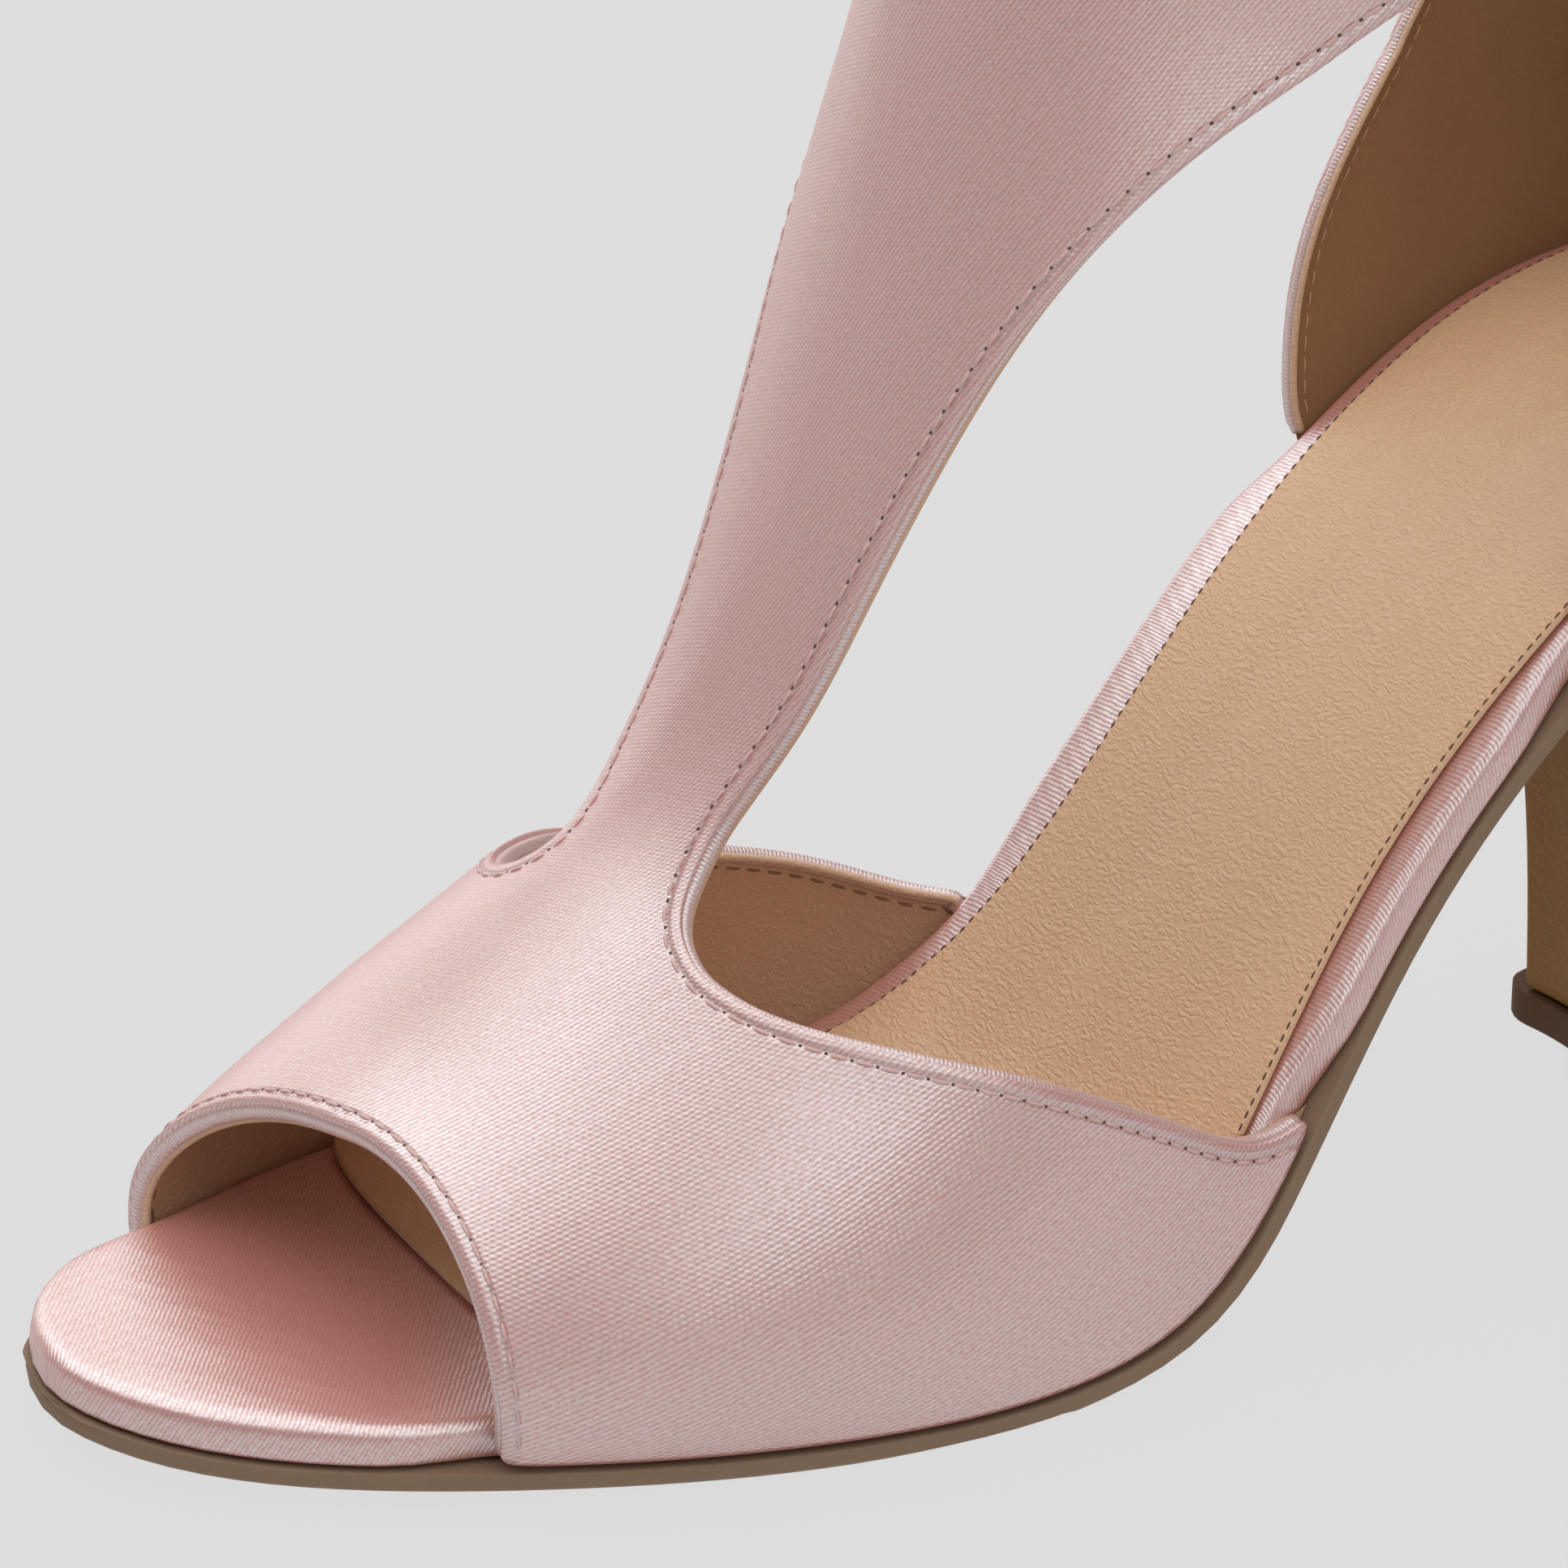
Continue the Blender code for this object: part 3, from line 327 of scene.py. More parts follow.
@dataclass(frozen=True)
class SatinFinish:
    """Duchess satin: fine slanting floats over a coarser ground, with a broad soft sheen.

    Lengths are in metres, the slant is in degrees, and each scale is in lumps a metre along the
    thread and across it. heights are the shares of the lines, the cells and the slubs, shades
    those of the lines, slubs, specks and clouds, and glosses those of the lines, glints and cells.
    """

    name: str
    body: Colour = (0.405, 0.132, 0.110, 1.0)
    thread: Colour = (0.715, 0.295, 0.255, 1.0)
    pitch: float = 0.00050
    slant: float = -15.0
    cross_pitch: float = 0.00062
    cross_lean: float = 0.5
    depth: float = 0.000034
    wander: float = 4.5
    wander_scale: Scale = (260.0, 900.0, 1.0)
    slub_scale: Scale = (180.0, 1500.0, 1.0)
    speck_scale: Scale = (1900.0, 3000.0, 1.0)
    cloud_scale: Scale = (38.0, 55.0, 1.0)
    ripple_scale: Scale = (90.0, 260.0, 1.0)
    ripple_depth: float = 0.00010
    groove: float = 0.0
    groove_at: float = 0.0016
    groove_half: float = 0.00055
    # The next two are painted shade: the share and the colour that the furrow beside the stitches is darkened
    # towards.
    groove_shadow_share: float = 0.34
    groove_shadow_colour: Colour = (0.270, 0.115, 0.100, 1.0)
    pucker_scale: Scale = (520.0, 520.0, 1.0)
    pucker_least: float = 0.55
    pucker_share: float = 0.75
    gloss_ior: float = 2.95
    roughness: float = 0.38
    anisotropy: float = 0.45
    gloss_tint: Colour = (0.88, 0.99, 1.0, 1.0)
    heights: tuple[float, ...] = (0.60, 0.34, 0.30)
    shades: tuple[float, ...] = (0.44, 0.30, 0.30, 0.22)
    glosses: tuple[float, ...] = (0.34, 0.30, 0.10)
    least_gloss: float = 0.40
    glint_range: tuple[float, float] = (0.3, 0.7)

    def make(self) -> bpy.types.Material:
        """Makes the material.

        Returns:
            The satin, laid out on the "cloth" UV layer.
        """
        s = NodeSketch(self.name)
        u, v = s.cloth("cloth")
        flat = s.point(u, v)
        turn = math.radians(self.slant)
        wander = s.noise(s.stretched(flat, self.wander_scale), 1.0, 3.0)
        rise = s.math("SUBTRACT", s.math("MULTIPLY", v, math.cos(turn)),
                      s.math("MULTIPLY", u, math.sin(turn)))
        line_phase = s.gathered((rise, 2 * math.pi / self.pitch), (wander, self.wander))
        lines = s.wave(line_phase)
        cells = s.wave(s.gathered((u, 2 * math.pi / self.cross_pitch), (line_phase, self.cross_lean)))
        slub = s.noise(s.stretched(flat, self.slub_scale), 1.0)
        speck = s.noise(s.stretched(flat, self.speck_scale), 1.0)
        cloudy = s.noise(s.stretched(flat, self.cloud_scale), 1.0, 3.0)
        ripple = s.noise(s.stretched(flat, self.ripple_scale), 1.0)
        glint = s.ease(speck, *self.glint_range)
        height = s.gathered(*zip((lines, cells, slub), self.heights))
        shade = s.gathered(*zip((lines, slub, speck, cloudy), self.shades))
        gloss = s.gathered(*zip((lines, glint, cells), self.glosses), start=self.least_gloss)
        colour = s.tint(shade, self.body, self.thread)
        normal = s.bump(ripple, self.ripple_depth)
        if self.groove > 0.0:
            colour, normal = self._grooved(s, flat, colour, normal)
        tangent = s.tree.nodes.new("ShaderNodeTangent")
        tangent.direction_type = "UV_MAP"
        tangent.uv_map = "cloth"
        s.settle(Base_Color=colour, Normal=s.bump(height, self.depth, normal),
                 Tangent=tangent.outputs["Tangent"], Roughness=self.roughness, IOR=self.gloss_ior,
                 Anisotropic=self.anisotropy, Specular_IOR_Level=gloss, Specular_Tint=self.gloss_tint)
        return s.material

    def _grooved(self, s: NodeSketch, flat: Socket, colour: Socket, normal: Socket) -> tuple[Socket, Socket]:
        """Draws the cloth in along the row of stitches beside a free edge, and darkens its colour there as
        painted shade.

        Args:
            s: The material so far.
            flat: The place on the flat cloth.
            colour: The cloth's colour.
            normal: The cloth's normal.

        Returns:
            The colour with the groove's painted shade, and the normal with the groove's dip.
        """
        off = s.math("ABSOLUTE", s.math("SUBTRACT", s.measure("edge"), self.groove_at))
        furrow = s.math("SUBTRACT", 1.0, s.ease(off, 0.0, self.groove_half))
        pucker = s.noise(s.stretched(flat, self.pucker_scale), 1.0, 1.0)
        depth = s.math("MULTIPLY", furrow, s.gathered((pucker, self.pucker_share), start=self.pucker_least))
        sunk = s.bump(s.math("SUBTRACT", 1.0, depth), self.groove, normal)
        # The furrow's darker colour is painted shade; the bump gives the dip itself.
        return s.tint(s.math("MULTIPLY", furrow, self.groove_shadow_share), colour, self.groove_shadow_colour), sunk


@dataclass(frozen=True)
class LeatherFinish:
    """Coated lining leather with a fine pebbled and creased grain.

    Depths are in metres, and each scale is in lumps a metre. heights are the shares of the
    pebbles and the folds, and shades those of the clouds and the grain. The colour turns lighter in long
    streaks along the clouds as painted highlight, and on the raised grain.
    """

    name: str
    body: Colour = (0.570, 0.332, 0.180, 1.0)
    highlight_and_grain: Colour = (0.760, 0.495, 0.305, 1.0)
    grain: float = 1700.0
    crease: float = 1250.0
    crease_half: float = 0.20
    drawn: Scale = (0.72, 1.25, 1.0)
    bend: float = 0.0006
    bend_scale: float = 500.0
    depth: float = 0.000085
    streak: float = 75.0
    streak_drawn: Scale = (1.0, 0.10, 0.10)
    ripple: float = 0.0011
    heights: tuple[float, float] = (0.40, 0.60)
    shades: tuple[float, float] = (0.80, 0.20)
    roughness: float = 0.36
    crease_roughness: float = 0.16
    gloss: float = 0.50

    def make(self) -> bpy.types.Material:
        """Makes the material.

        Returns:
            The leather, laid out in the object's own space.
        """
        s = NodeSketch(self.name)
        at = s.stretched(s.place(), self.drawn)
        x, y, z = s.split(at)
        bent = s.math("MULTIPLY", s.noise(at, self.bend_scale), self.bend)
        pebble = s.cells(s.point(s.math("ADD", bent, x), y, z), self.grain)
        crease = s.noise(at, self.crease, 1.0)
        fold = s.ease(s.math("ABSOLUTE", s.math("SUBTRACT", crease, 0.5)), 0.0, self.crease_half)
        height = s.gathered(*zip((pebble, fold), self.heights))
        cloudy = s.noise(s.stretched(at, self.streak_drawn), self.streak)
        # Painted highlight: the long clouds lighten the colour in streaks along the piece, and the raised
        # grain adds a smaller share.
        colour = s.tint(s.gathered(*zip((cloudy, height), self.shades)), self.body, self.highlight_and_grain)
        s.settle(Base_Color=colour, Normal=s.bump(height, self.depth, s.bump(cloudy, self.ripple)),
                 Roughness=s.gathered((crease, self.crease_roughness), start=self.roughness),
                 Specular_IOR_Level=self.gloss)
        return s.material


@dataclass(frozen=True)
class SuedeFinish:
    """Napped lining of the counter, with a short soft pile; shades are those of nap and brush."""

    name: str
    body: Colour = (0.215, 0.100, 0.040, 1.0)
    brushed: Colour = (0.330, 0.170, 0.078, 1.0)
    nap_scale: float = 2600.0
    nap_depth: float = 0.00009
    brush_scale: float = 70.0
    brush_drawn: Scale = (1.0, 1.0, 0.5)
    brush_depth: float = 0.0003
    shades: tuple[float, float] = (0.55, 0.60)
    roughness: float = 0.95
    gloss: float = 0.15
    pile: float = 0.5
    pile_roughness: float = 0.6
    pile_colour: Colour = (0.85, 0.62, 0.42, 1.0)

    def make(self) -> bpy.types.Material:
        """Makes the material.

        Returns:
            The suede, laid out in the object's own space.
        """
        s = NodeSketch(self.name)
        at = s.place()
        nap = s.noise(at, self.nap_scale, 3.0)
        brush = s.noise(s.stretched(at, self.brush_drawn), self.brush_scale, 4.0)
        shade = s.gathered(*zip((nap, brush), self.shades))
        s.settle(Base_Color=s.tint(shade, self.body, self.brushed),
                 Normal=s.bump(nap, self.nap_depth, s.bump(brush, self.brush_depth)),
                 Roughness=self.roughness, Specular_IOR_Level=self.gloss, Sheen_Weight=self.pile,
                 Sheen_Roughness=self.pile_roughness, Sheen_Tint=self.pile_colour)
        return s.material


@dataclass(frozen=True)
class RubberFinish:
    """Matte moulded sole or lift, lightly scuffed; shades are those of specks and drags."""

    name: str
    body: Colour = (0.205, 0.128, 0.078, 1.0)
    scuffed: Colour = (0.275, 0.180, 0.118, 1.0)
    speck_scale: float = 1400.0
    speck_depth: float = 0.00004
    drag_scale: float = 240.0
    drag_drawn: Scale = (1.0, 0.22, 1.0)
    drag_depth: float = 0.00006
    drag_roughness: float = 0.18
    shades: tuple[float, float] = (0.35, 0.65)
    roughness: float = 0.62
    gloss: float = 0.35

    def make(self) -> bpy.types.Material:
        """Makes the material.

        Returns:
            The rubber, laid out in the object's own space.
        """
        s = NodeSketch(self.name)
        at = s.place()
        speck = s.noise(at, self.speck_scale, 3.0)
        drag = s.noise(s.stretched(at, self.drag_drawn), self.drag_scale, 4.0)
        shade = s.gathered(*zip((speck, drag), self.shades))
        s.settle(Base_Color=s.tint(shade, self.body, self.scuffed),
                 Normal=s.bump(speck, self.speck_depth, s.bump(drag, self.drag_depth)),
                 Roughness=s.gathered((drag, self.drag_roughness), start=self.roughness),
                 Specular_IOR_Level=self.gloss)
        return s.material


@dataclass(frozen=True)
class ThreadFinish:
    """Twisted sewing thread, or the dark marks at the needle holes between its stitches, which are painted
    shade of the holes.
    """

    name: str
    body: Colour
    ply: Colour
    roughness: float = 0.5
    twist_scale: float = 5200.0
    twist_depth: float = 0.00005

    def make(self) -> bpy.types.Material:
        """Makes the material.

        Returns:
            The thread, laid out in the object's own space.
        """
        s = NodeSketch(self.name)
        twist = s.noise(s.place(), self.twist_scale, 1.0)
        s.settle(Base_Color=s.tint(twist, self.body, self.ply), Roughness=self.roughness,
                 Normal=s.bump(twist, self.twist_depth))
        return s.material


@dataclass(frozen=True)
class FloorFinish:
    """Pale studio sweep, lit evenly from below so that it shows hardly any shadow."""

    name: str
    paint: Colour = (0.62, 0.62, 0.62, 1.0)
    roughness: float = 0.9
    gloss: float = 0.1
    lit: Colour = (0.730, 0.730, 0.730, 1.0)
    glow: float = 0.95

    def make(self) -> bpy.types.Material:
        """Makes the material.

        Returns:
            The floor's mix of paint and glow.
        """
        s = NodeSketch(self.name)
        s.settle(Base_Color=self.paint, Roughness=self.roughness, Specular_IOR_Level=self.gloss)
        lamp = s.tree.nodes.new("ShaderNodeEmission")
        lamp.inputs["Color"].default_value = self.lit
        blend = s.tree.nodes.new("ShaderNodeMixShader")
        blend.inputs["Fac"].default_value = self.glow
        s.tree.links.new(s.shader.outputs["BSDF"], blend.inputs[1])
        s.tree.links.new(lamp.outputs["Emission"], blend.inputs[2])
        output = next(n for n in s.tree.nodes if n.type == "OUTPUT_MATERIAL")
        s.tree.links.new(blend.outputs["Shader"], output.inputs["Surface"])
        return s.material


# Meshes

WELD = 1e-6
QUAD_BEND = math.radians(40)
QUAD_SKEW = math.radians(90)
SHORTEST_LOOP = 6
BREAK_ANGLE = math.radians(35)
BREAK_SEGMENTS = 2
TINY = 1e-12


def quads_of(node: str) -> bmesh.types.BMesh:
    """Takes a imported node's surface as welded four-sided faces.

    Args:
        node: The node's name.

    Returns:
        A new mesh in metres.
    """
    bm = bmesh.new()
    bm.from_mesh(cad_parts[node].data)
    bmesh.ops.remove_doubles(bm, verts=bm.verts, dist=WELD)
    bmesh.ops.join_triangles(bm, faces=bm.faces, angle_face_threshold=QUAD_BEND,
                             angle_shape_threshold=QUAD_SKEW)
    bm.normal_update()
    bm.verts.index_update()
    bm.faces.index_update()
    bm.verts.ensure_lookup_table()
    bm.faces.ensure_lookup_table()
    return bm


def smooth_groups(bm: bmesh.types.BMesh, limit: float) -> list[list[bmesh.types.BMFace]]:
    """Groups the faces that meet at less than an angle.

    Args:
        bm: The mesh.
        limit: The angle in degrees.

    Returns:
        The groups, the largest area first.
    """
    seen: set[int] = set()
    groups = []
    bend = math.radians(limit)
    for first in bm.faces:
        if first.index in seen:
            continue
        seen.add(first.index)
        queue, group = [first], []
        while queue:
            face = queue.pop()
            group.append(face)
            for edge in face.edges:
                if len(edge.link_faces) == 2 and edge.calc_face_angle(0.0) < bend:
                    for other in edge.link_faces:
                        if other.index not in seen:
                            seen.add(other.index)
                            queue.append(other)
        groups.append(group)
    return sorted(groups, key=lambda faces: -sum(face.calc_area() for face in faces))


def closed_loops(pairs: Sequence[tuple[int, int]]) -> list[list[int]]:
    """Orders boundary edges into loops of vertex numbers.

    Args:
        pairs: The two vertex numbers of each edge.

    Returns:
        The loops, the longest first.
    """
    beside: dict[int, list[int]] = {}
    for first, second in pairs:
        beside.setdefault(first, []).append(second)
        beside.setdefault(second, []).append(first)
    loops = []
    left = set(beside)
    while left:
        start = min(left)
        loop, last, here = [start], -1, start
        while True:
            left.discard(here)
            onward = [n for n in beside[here] if n != last and (n in left or n == start)]
            if not onward or (onward[0] == start and len(loop) > 2) or onward[0] not in left:
                break
            last, here = here, onward[0]
            loop.append(here)
        if len(loop) >= SHORTEST_LOOP:
            loops.append(loop)
    return sorted(loops, key=lambda points: -len(points))


def new_object(name: str, mesh: bpy.types.Mesh) -> bpy.types.Object:
    """Puts a mesh into the scene as a piece.

    Args:
        name: The piece's name.
        mesh: Its mesh.

    Returns:
        The piece.
    """
    piece = bpy.data.objects.new(name, mesh)
    bpy.context.scene.collection.objects.link(piece)
    return piece


def face_outward(mesh: bpy.types.Mesh) -> None:
    """Turns every face of a closed mesh outward.

    Args:
        mesh: The mesh.
    """
    bm = bmesh.new()
    bm.from_mesh(mesh)
    bmesh.ops.recalc_face_normals(bm, faces=bm.faces)
    bm.to_mesh(mesh)


def rounded(bm: bmesh.types.BMesh, name: str, levels: int, break_edge: float = 0.0) -> bpy.types.Object:
    """Turns a coarse mesh into a smooth piece by subdivision.

    Args:
        bm: The coarse mesh, with its creases.
        name: The piece's name.
        levels: The number of subdivisions.
        break_edge: The width that its sharp edges are rounded over first, in metres.

    Returns:
        The piece, with its subdivision applied.
    """
    mesh = bpy.data.meshes.new(name + "_coarse")
    bm.to_mesh(mesh)
    piece = new_object(name, mesh)
    if break_edge > 0.0:
        breaker = piece.modifiers.new("Broken edges", "BEVEL")
        breaker.width = break_edge
        breaker.segments = BREAK_SEGMENTS
        breaker.limit_method = "ANGLE"
        breaker.angle_limit = BREAK_ANGLE
    smoother = piece.modifiers.new("Rounding", "SUBSURF")
    smoother.levels = smoother.render_levels = levels
    smoother.boundary_smooth = "ALL"
    graph = bpy.context.evaluated_depsgraph_get()
    fine = bpy.data.meshes.new_from_object(piece.evaluated_get(graph), depsgraph=graph)
    piece.modifiers.clear()
    piece.data = fine
    fine.name = name
    fine.shade_smooth()
    return piece


def lay_cloth(mesh: bpy.types.Mesh, place: Callable[[Vector], tuple[float, float]]) -> None:
    """Writes the "cloth" UV layer from a vertex's place.

    Args:
        mesh: The mesh.
        place: Gives the two cloth coordinates of a point, in metres.
    """
    layer = mesh.uv_layers.new(name="cloth")
    spots = [place(vertex.co) for vertex in mesh.vertices]
    for loop in mesh.loops:
        layer.data[loop.index].uv = spots[loop.vertex_index]


def tree_of(piece: bpy.types.Object) -> BVHTree:
    """Gives a search tree of a piece's faces."""
    mesh = piece.data
    return BVHTree.FromPolygons([v.co for v in mesh.vertices], [p.vertices for p in mesh.polygons])


def unit(rows: np.ndarray) -> np.ndarray:
    """Scales each row to length one."""
    return rows / np.maximum(np.linalg.norm(rows, axis=1, keepdims=True), TINY)


def ring_direction(points: np.ndarray) -> np.ndarray:
    """Gives the direction of a closed line at each of its points."""
    return unit(np.roll(points, -1, 0) - np.roll(points, 1, 0))


def eased(rows: np.ndarray, turns: int, closed: bool) -> np.ndarray:
    """Averages each row with its neighbours, a number of times.

    Args:
        rows: The rows.
        turns: How often they are averaged.
        closed: Whether the last row is beside the first.

    Returns:
        The eased rows.
    """
    for _ in range(turns):
        before, after = np.roll(rows, 1, 0), np.roll(rows, -1, 0)
        if not closed:
            before[0], after[-1] = rows[0], rows[-1]
        rows = 0.25 * before + 0.5 * rows + 0.25 * after
    return rows


def hand_in(piece: bpy.types.Object, slot: Slot, material: bpy.types.Material,
            stands_for: Sequence[str] = ()) -> None:
    """Gives a finished piece its material and body, hides the CAD nodes that it replaces, and logs it with
    its slot.

    Args:
        piece: The piece.
        slot: The record's slot.
        material: The finish.
        stands_for: The CAD nodes that it replaces.
    """
    piece.data.materials.clear()
    piece.data.materials.append(material)
    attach(piece, "root")
    if stands_for:
        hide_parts(*stands_for)
    triangles = sum(len(p.vertices) - 2 for p in piece.data.polygons)
    logger.info("%s: %d triangles, slot %s", piece.name, triangles, slot.value)


@dataclass
class FreeEdge:
    """A run of the upper's free edge, as a line along the middle of the wall's rim."""

    points: np.ndarray
    out: np.ndarray
    wall: np.ndarray
    half: np.ndarray
    closed: bool = False

    def resampled(self, step: float) -> "FreeEdge":
        """Spaces the run evenly.

        Args:
            step: The wanted spacing in metres.

        Returns:
            A new run.
        """
        rows = np.vstack([self.points, self.points[:1]]) if self.closed else self.points
        gaps = np.linalg.norm(np.diff(rows, axis=0), axis=1)
        at = np.concatenate([[0.0], np.cumsum(gaps)])
        count = max(3, int(round(at[-1] / step)))
        want = np.linspace(0.0, at[-1], count + 1)
        if self.closed:
            want = want[:-1]

        def spread(values: np.ndarray) -> np.ndarray:
            """Reads a column or a table at the new places.

            Args:
                values: The column or table, a row for each old place.

            Returns:
                The same with a row for each new place.
            """
            table = values if values.ndim > 1 else values[:, None]
            table = np.vstack([table, table[:1]]) if self.closed else table
            read = np.column_stack([np.interp(want, at, table[:, k]) for k in range(table.shape[1])])
            return read if values.ndim > 1 else read[:, 0]

        return FreeEdge(spread(self.points), unit(spread(self.out)), unit(spread(self.wall)),
                        spread(self.half), self.closed)

    def along(self) -> np.ndarray:
        """Gives the direction of the run.

        Returns:
            The direction at each point.
        """
        after, before = np.roll(self.points, -1, 0), np.roll(self.points, 1, 0)
        if not self.closed:
            after[-1], before[0] = self.points[-1], self.points[0]
        return unit(after - before)

    def length(self) -> float:
        """Gives the run's length."""
        return float(np.linalg.norm(np.diff(self.points, axis=0), axis=1).sum())


@dataclass
class EdgeTrim:
    """The satin rolled over a free edge: a full binding on the vamp, a slim turned edge above."""

    bead_half: float = 0.00086
    bead_reach: float = 0.00084
    bead_shift: float = 0.00036
    slim_half: float = 0.00062
    slim_reach: float = 0.00036
    slim_shift: float = 0.00036
    low: float = 0.052
    high: float = 0.092
    sunk: float = 0.42
    side_power: float = 0.8
    front_power: float = 0.9
    sides: int = 14
    step: float = 0.0007
    cloth_step: float = 0.00035

    def build(self, name: str, edge: FreeEdge) -> bpy.types.Object:
        """Builds the trim round an edge.

        Args:
            name: The piece's name.
            edge: The run that it covers.

        Returns:
            The piece, with its cloth laid out along and around it.
        """
        run = edge.resampled(self.step)
        share = self._slimness(run.points[:, 2])
        across = self.bead_half + (self.slim_half - self.bead_half) * share
        reach = self.bead_reach + (self.slim_reach - self.bead_reach) * share
        shift = self.bead_shift + (self.slim_shift - self.bead_shift) * share
        centre = run.points - run.out * (reach * self.sunk)[:, None] + run.wall * shift[:, None]
        turn = np.linspace(0.0, 2 * math.pi, self.sides, endpoint=False)
        rings = []
        for angle in turn:
            side = math.copysign(abs(math.cos(angle)) ** self.side_power, math.cos(angle))
            front = math.copysign(abs(math.sin(angle)) ** self.front_power, math.sin(angle))
            rings.append(centre + run.wall * (across * side)[:, None] + run.out * (reach * front)[:, None])
        return self._skin(name, np.stack(rings, 1), run.closed)

    def _slimness(self, height: np.ndarray) -> np.ndarray:
        """Gives 0 for the full binding low on the shoe and 1 for the slim edge above."""
        share = np.clip((height - self.low) / (self.high - self.low), 0.0, 1.0)
        return share * share * (3.0 - 2.0 * share)

    def _skin(self, name: str, points: np.ndarray, closed: bool) -> bpy.types.Object:
        """Skins rings of points into a tube.

        Args:
            name: The piece's name.
            points: The rings, each with the same number of points.
            closed: Whether the last ring joins the first.

        Returns:
            The piece.
        """
        rings, sides = points.shape[:2]
        faces = []
        for i in range(rings if closed else rings - 1):
            j = (i + 1) % rings
            for k in range(sides):
                m = (k + 1) % sides
                faces.append((i * sides + k, i * sides + m, j * sides + m, j * sides + k))
        vertices = points.reshape(-1, 3)
        if not closed:
            vertices = np.vstack([vertices, points[0].mean(0), points[-1].mean(0)])
            tip, tail = rings * sides, rings * sides + 1
            for k in range(sides):
                m = (k + 1) % sides
                faces.append((k, tip, m))
                faces.append(((rings - 1) * sides + m, tail, (rings - 1) * sides + k))
        mesh = bpy.data.meshes.new(name)
        mesh.from_pydata([tuple(v) for v in vertices], [], faces)
        mesh.shade_smooth()
        self._lay(mesh, points, closed)
        face_outward(mesh)
        return new_object(name, mesh)

    def _lay(self, mesh: bpy.types.Mesh, points: np.ndarray, closed: bool) -> None:
        """Lays the cloth out around the tube and along it.

        Args:
            mesh: The tube, which gets the "cloth" UV layer.
            points: Its rings.
            closed: Whether the last ring joins the first.
        """
        rings, sides = points.shape[:2]
        gaps = np.linalg.norm(np.diff(points.mean(1), axis=0), axis=1)
        at = np.concatenate([[0.0], np.cumsum(gaps), [gaps.sum()]])
        layer = mesh.uv_layers.new(name="cloth")
        for polygon in mesh.polygons:
            ring = polygon.vertices[0] // sides
            for loop in polygon.loop_indices:
                index = mesh.loops[loop].vertex_index
                if index >= rings * sides:
                    layer.data[loop].uv = (0.0, at[min(ring, rings)])
                    continue
                row, column = index // sides, index % sides
                around = column if not (column == 0 and polygon.vertices[0] % sides == sides - 1) else sides
                far = at[-1] if closed and row < ring else at[row]
                layer.data[loop].uv = (around * self.cloth_step, far)


Spot = tuple[Vector, Vector, Vector]

# Half a stitch's length is 0.5, and the second number is its share of the full thickness.
STITCH_SWELL = ((-0.5, 0.0), (-0.44, 0.55), (-0.25, 0.92), (0.0, 1.0), (0.25, 0.92), (0.44, 0.55), (0.5, 0.0))


@dataclass
class StitchRow:
    """A row of lockstitches on a surface, beside an edge."""

    pitch: float = 0.0023
    length: float = 0.00185
    width: float = 0.00040
    height: float = 0.00030
    arch: float = 0.00012
    sunk: float = 0.00006
    inset: float = 0.0016
    farthest: float = 0.0015
    ends_free: float = 0.002
    neighbours: float = 1.6
    sides: int = 6

    def spots(self, edge: FreeEdge, surface: BVHTree, inward: float) -> list[Spot]:
        """Finds the middle of each stitch on a surface.

        Args:
            edge: The run of free edge that the row follows.
            surface: The surface that it is sewn on.
            inward: -1 for the lining's side of the wall, 1 for the outside.

        Returns:
            The place, direction and normal of each stitch.
        """
        run = edge.resampled(self.pitch)
        starts = run.points + run.wall * (run.half * inward)[:, None] - run.out * self.inset
        tangents = run.along()
        margin = 0 if run.closed else max(1, int(round(self.ends_free / self.pitch)))
        found = []
        for k in range(margin, len(starts) - margin):
            place, normal, _, distance = surface.find_nearest(Vector(starts[k]))
            if place is None or distance > self.farthest:
                continue
            if normal.dot(Vector(run.wall[k]) * inward) < 0.0:
                normal = -normal
            found.append((place, Vector(tangents[k]), normal))
        return found

    def build(self, name: str, spots: Sequence[Spot]) -> bpy.types.Object:
        """Builds the stitches as small arched capsules in one piece.

        Args:
            name: The piece's name.
            spots: The place, direction and normal of each stitch.

        Returns:
            The piece.
        """
        vertices: list[Vector] = []
        faces: list[tuple[int, ...]] = []
        for place, along, normal in spots:
            forward = (along - normal * along.dot(normal)).normalized()
            side = normal.cross(forward)
            rows = []
            for at, swell in STITCH_SWELL:
                lift = self.arch * (1.0 - 4.0 * at * at) - self.sunk
                middle = place + forward * (at * self.length) + normal * lift
                row = []
                for k in range(self.sides if swell else 1):
                    turn = 2 * math.pi * k / self.sides
                    row.append(len(vertices))
                    vertices.append(middle + side * (math.cos(turn) * self.width * 0.5 * swell)
                                    + normal * (math.sin(turn) * self.height * 0.5 * swell))
                rows.append(row)
            for first, second in zip(rows, rows[1:]):
                for k in range(self.sides):
                    m = (k + 1) % self.sides
                    if len(first) == 1:
                        faces.append((first[0], second[k], second[m]))
                    elif len(second) == 1:
                        faces.append((first[k], second[0], first[m]))
                    else:
                        faces.append((first[k], second[k], second[m], first[m]))
        mesh = bpy.data.meshes.new(name)
        mesh.from_pydata([tuple(v) for v in vertices], [], faces)
        face_outward(mesh)
        mesh.shade_smooth()
        return new_object(name, mesh)

    def pricks(self, spots: Sequence[Spot]) -> list[Spot]:
        """Gives the needle holes half-way between neighbouring stitches.

        Args:
            spots: The place, direction and normal of each stitch.

        Returns:
            The same of each hole.
        """
        holes = []
        for (first, along, normal), (second, _, _) in zip(spots, spots[1:]):
            if (second - first).length < self.neighbours * self.pitch:
                holes.append(((first + second) * 0.5, along, normal))
        return holes


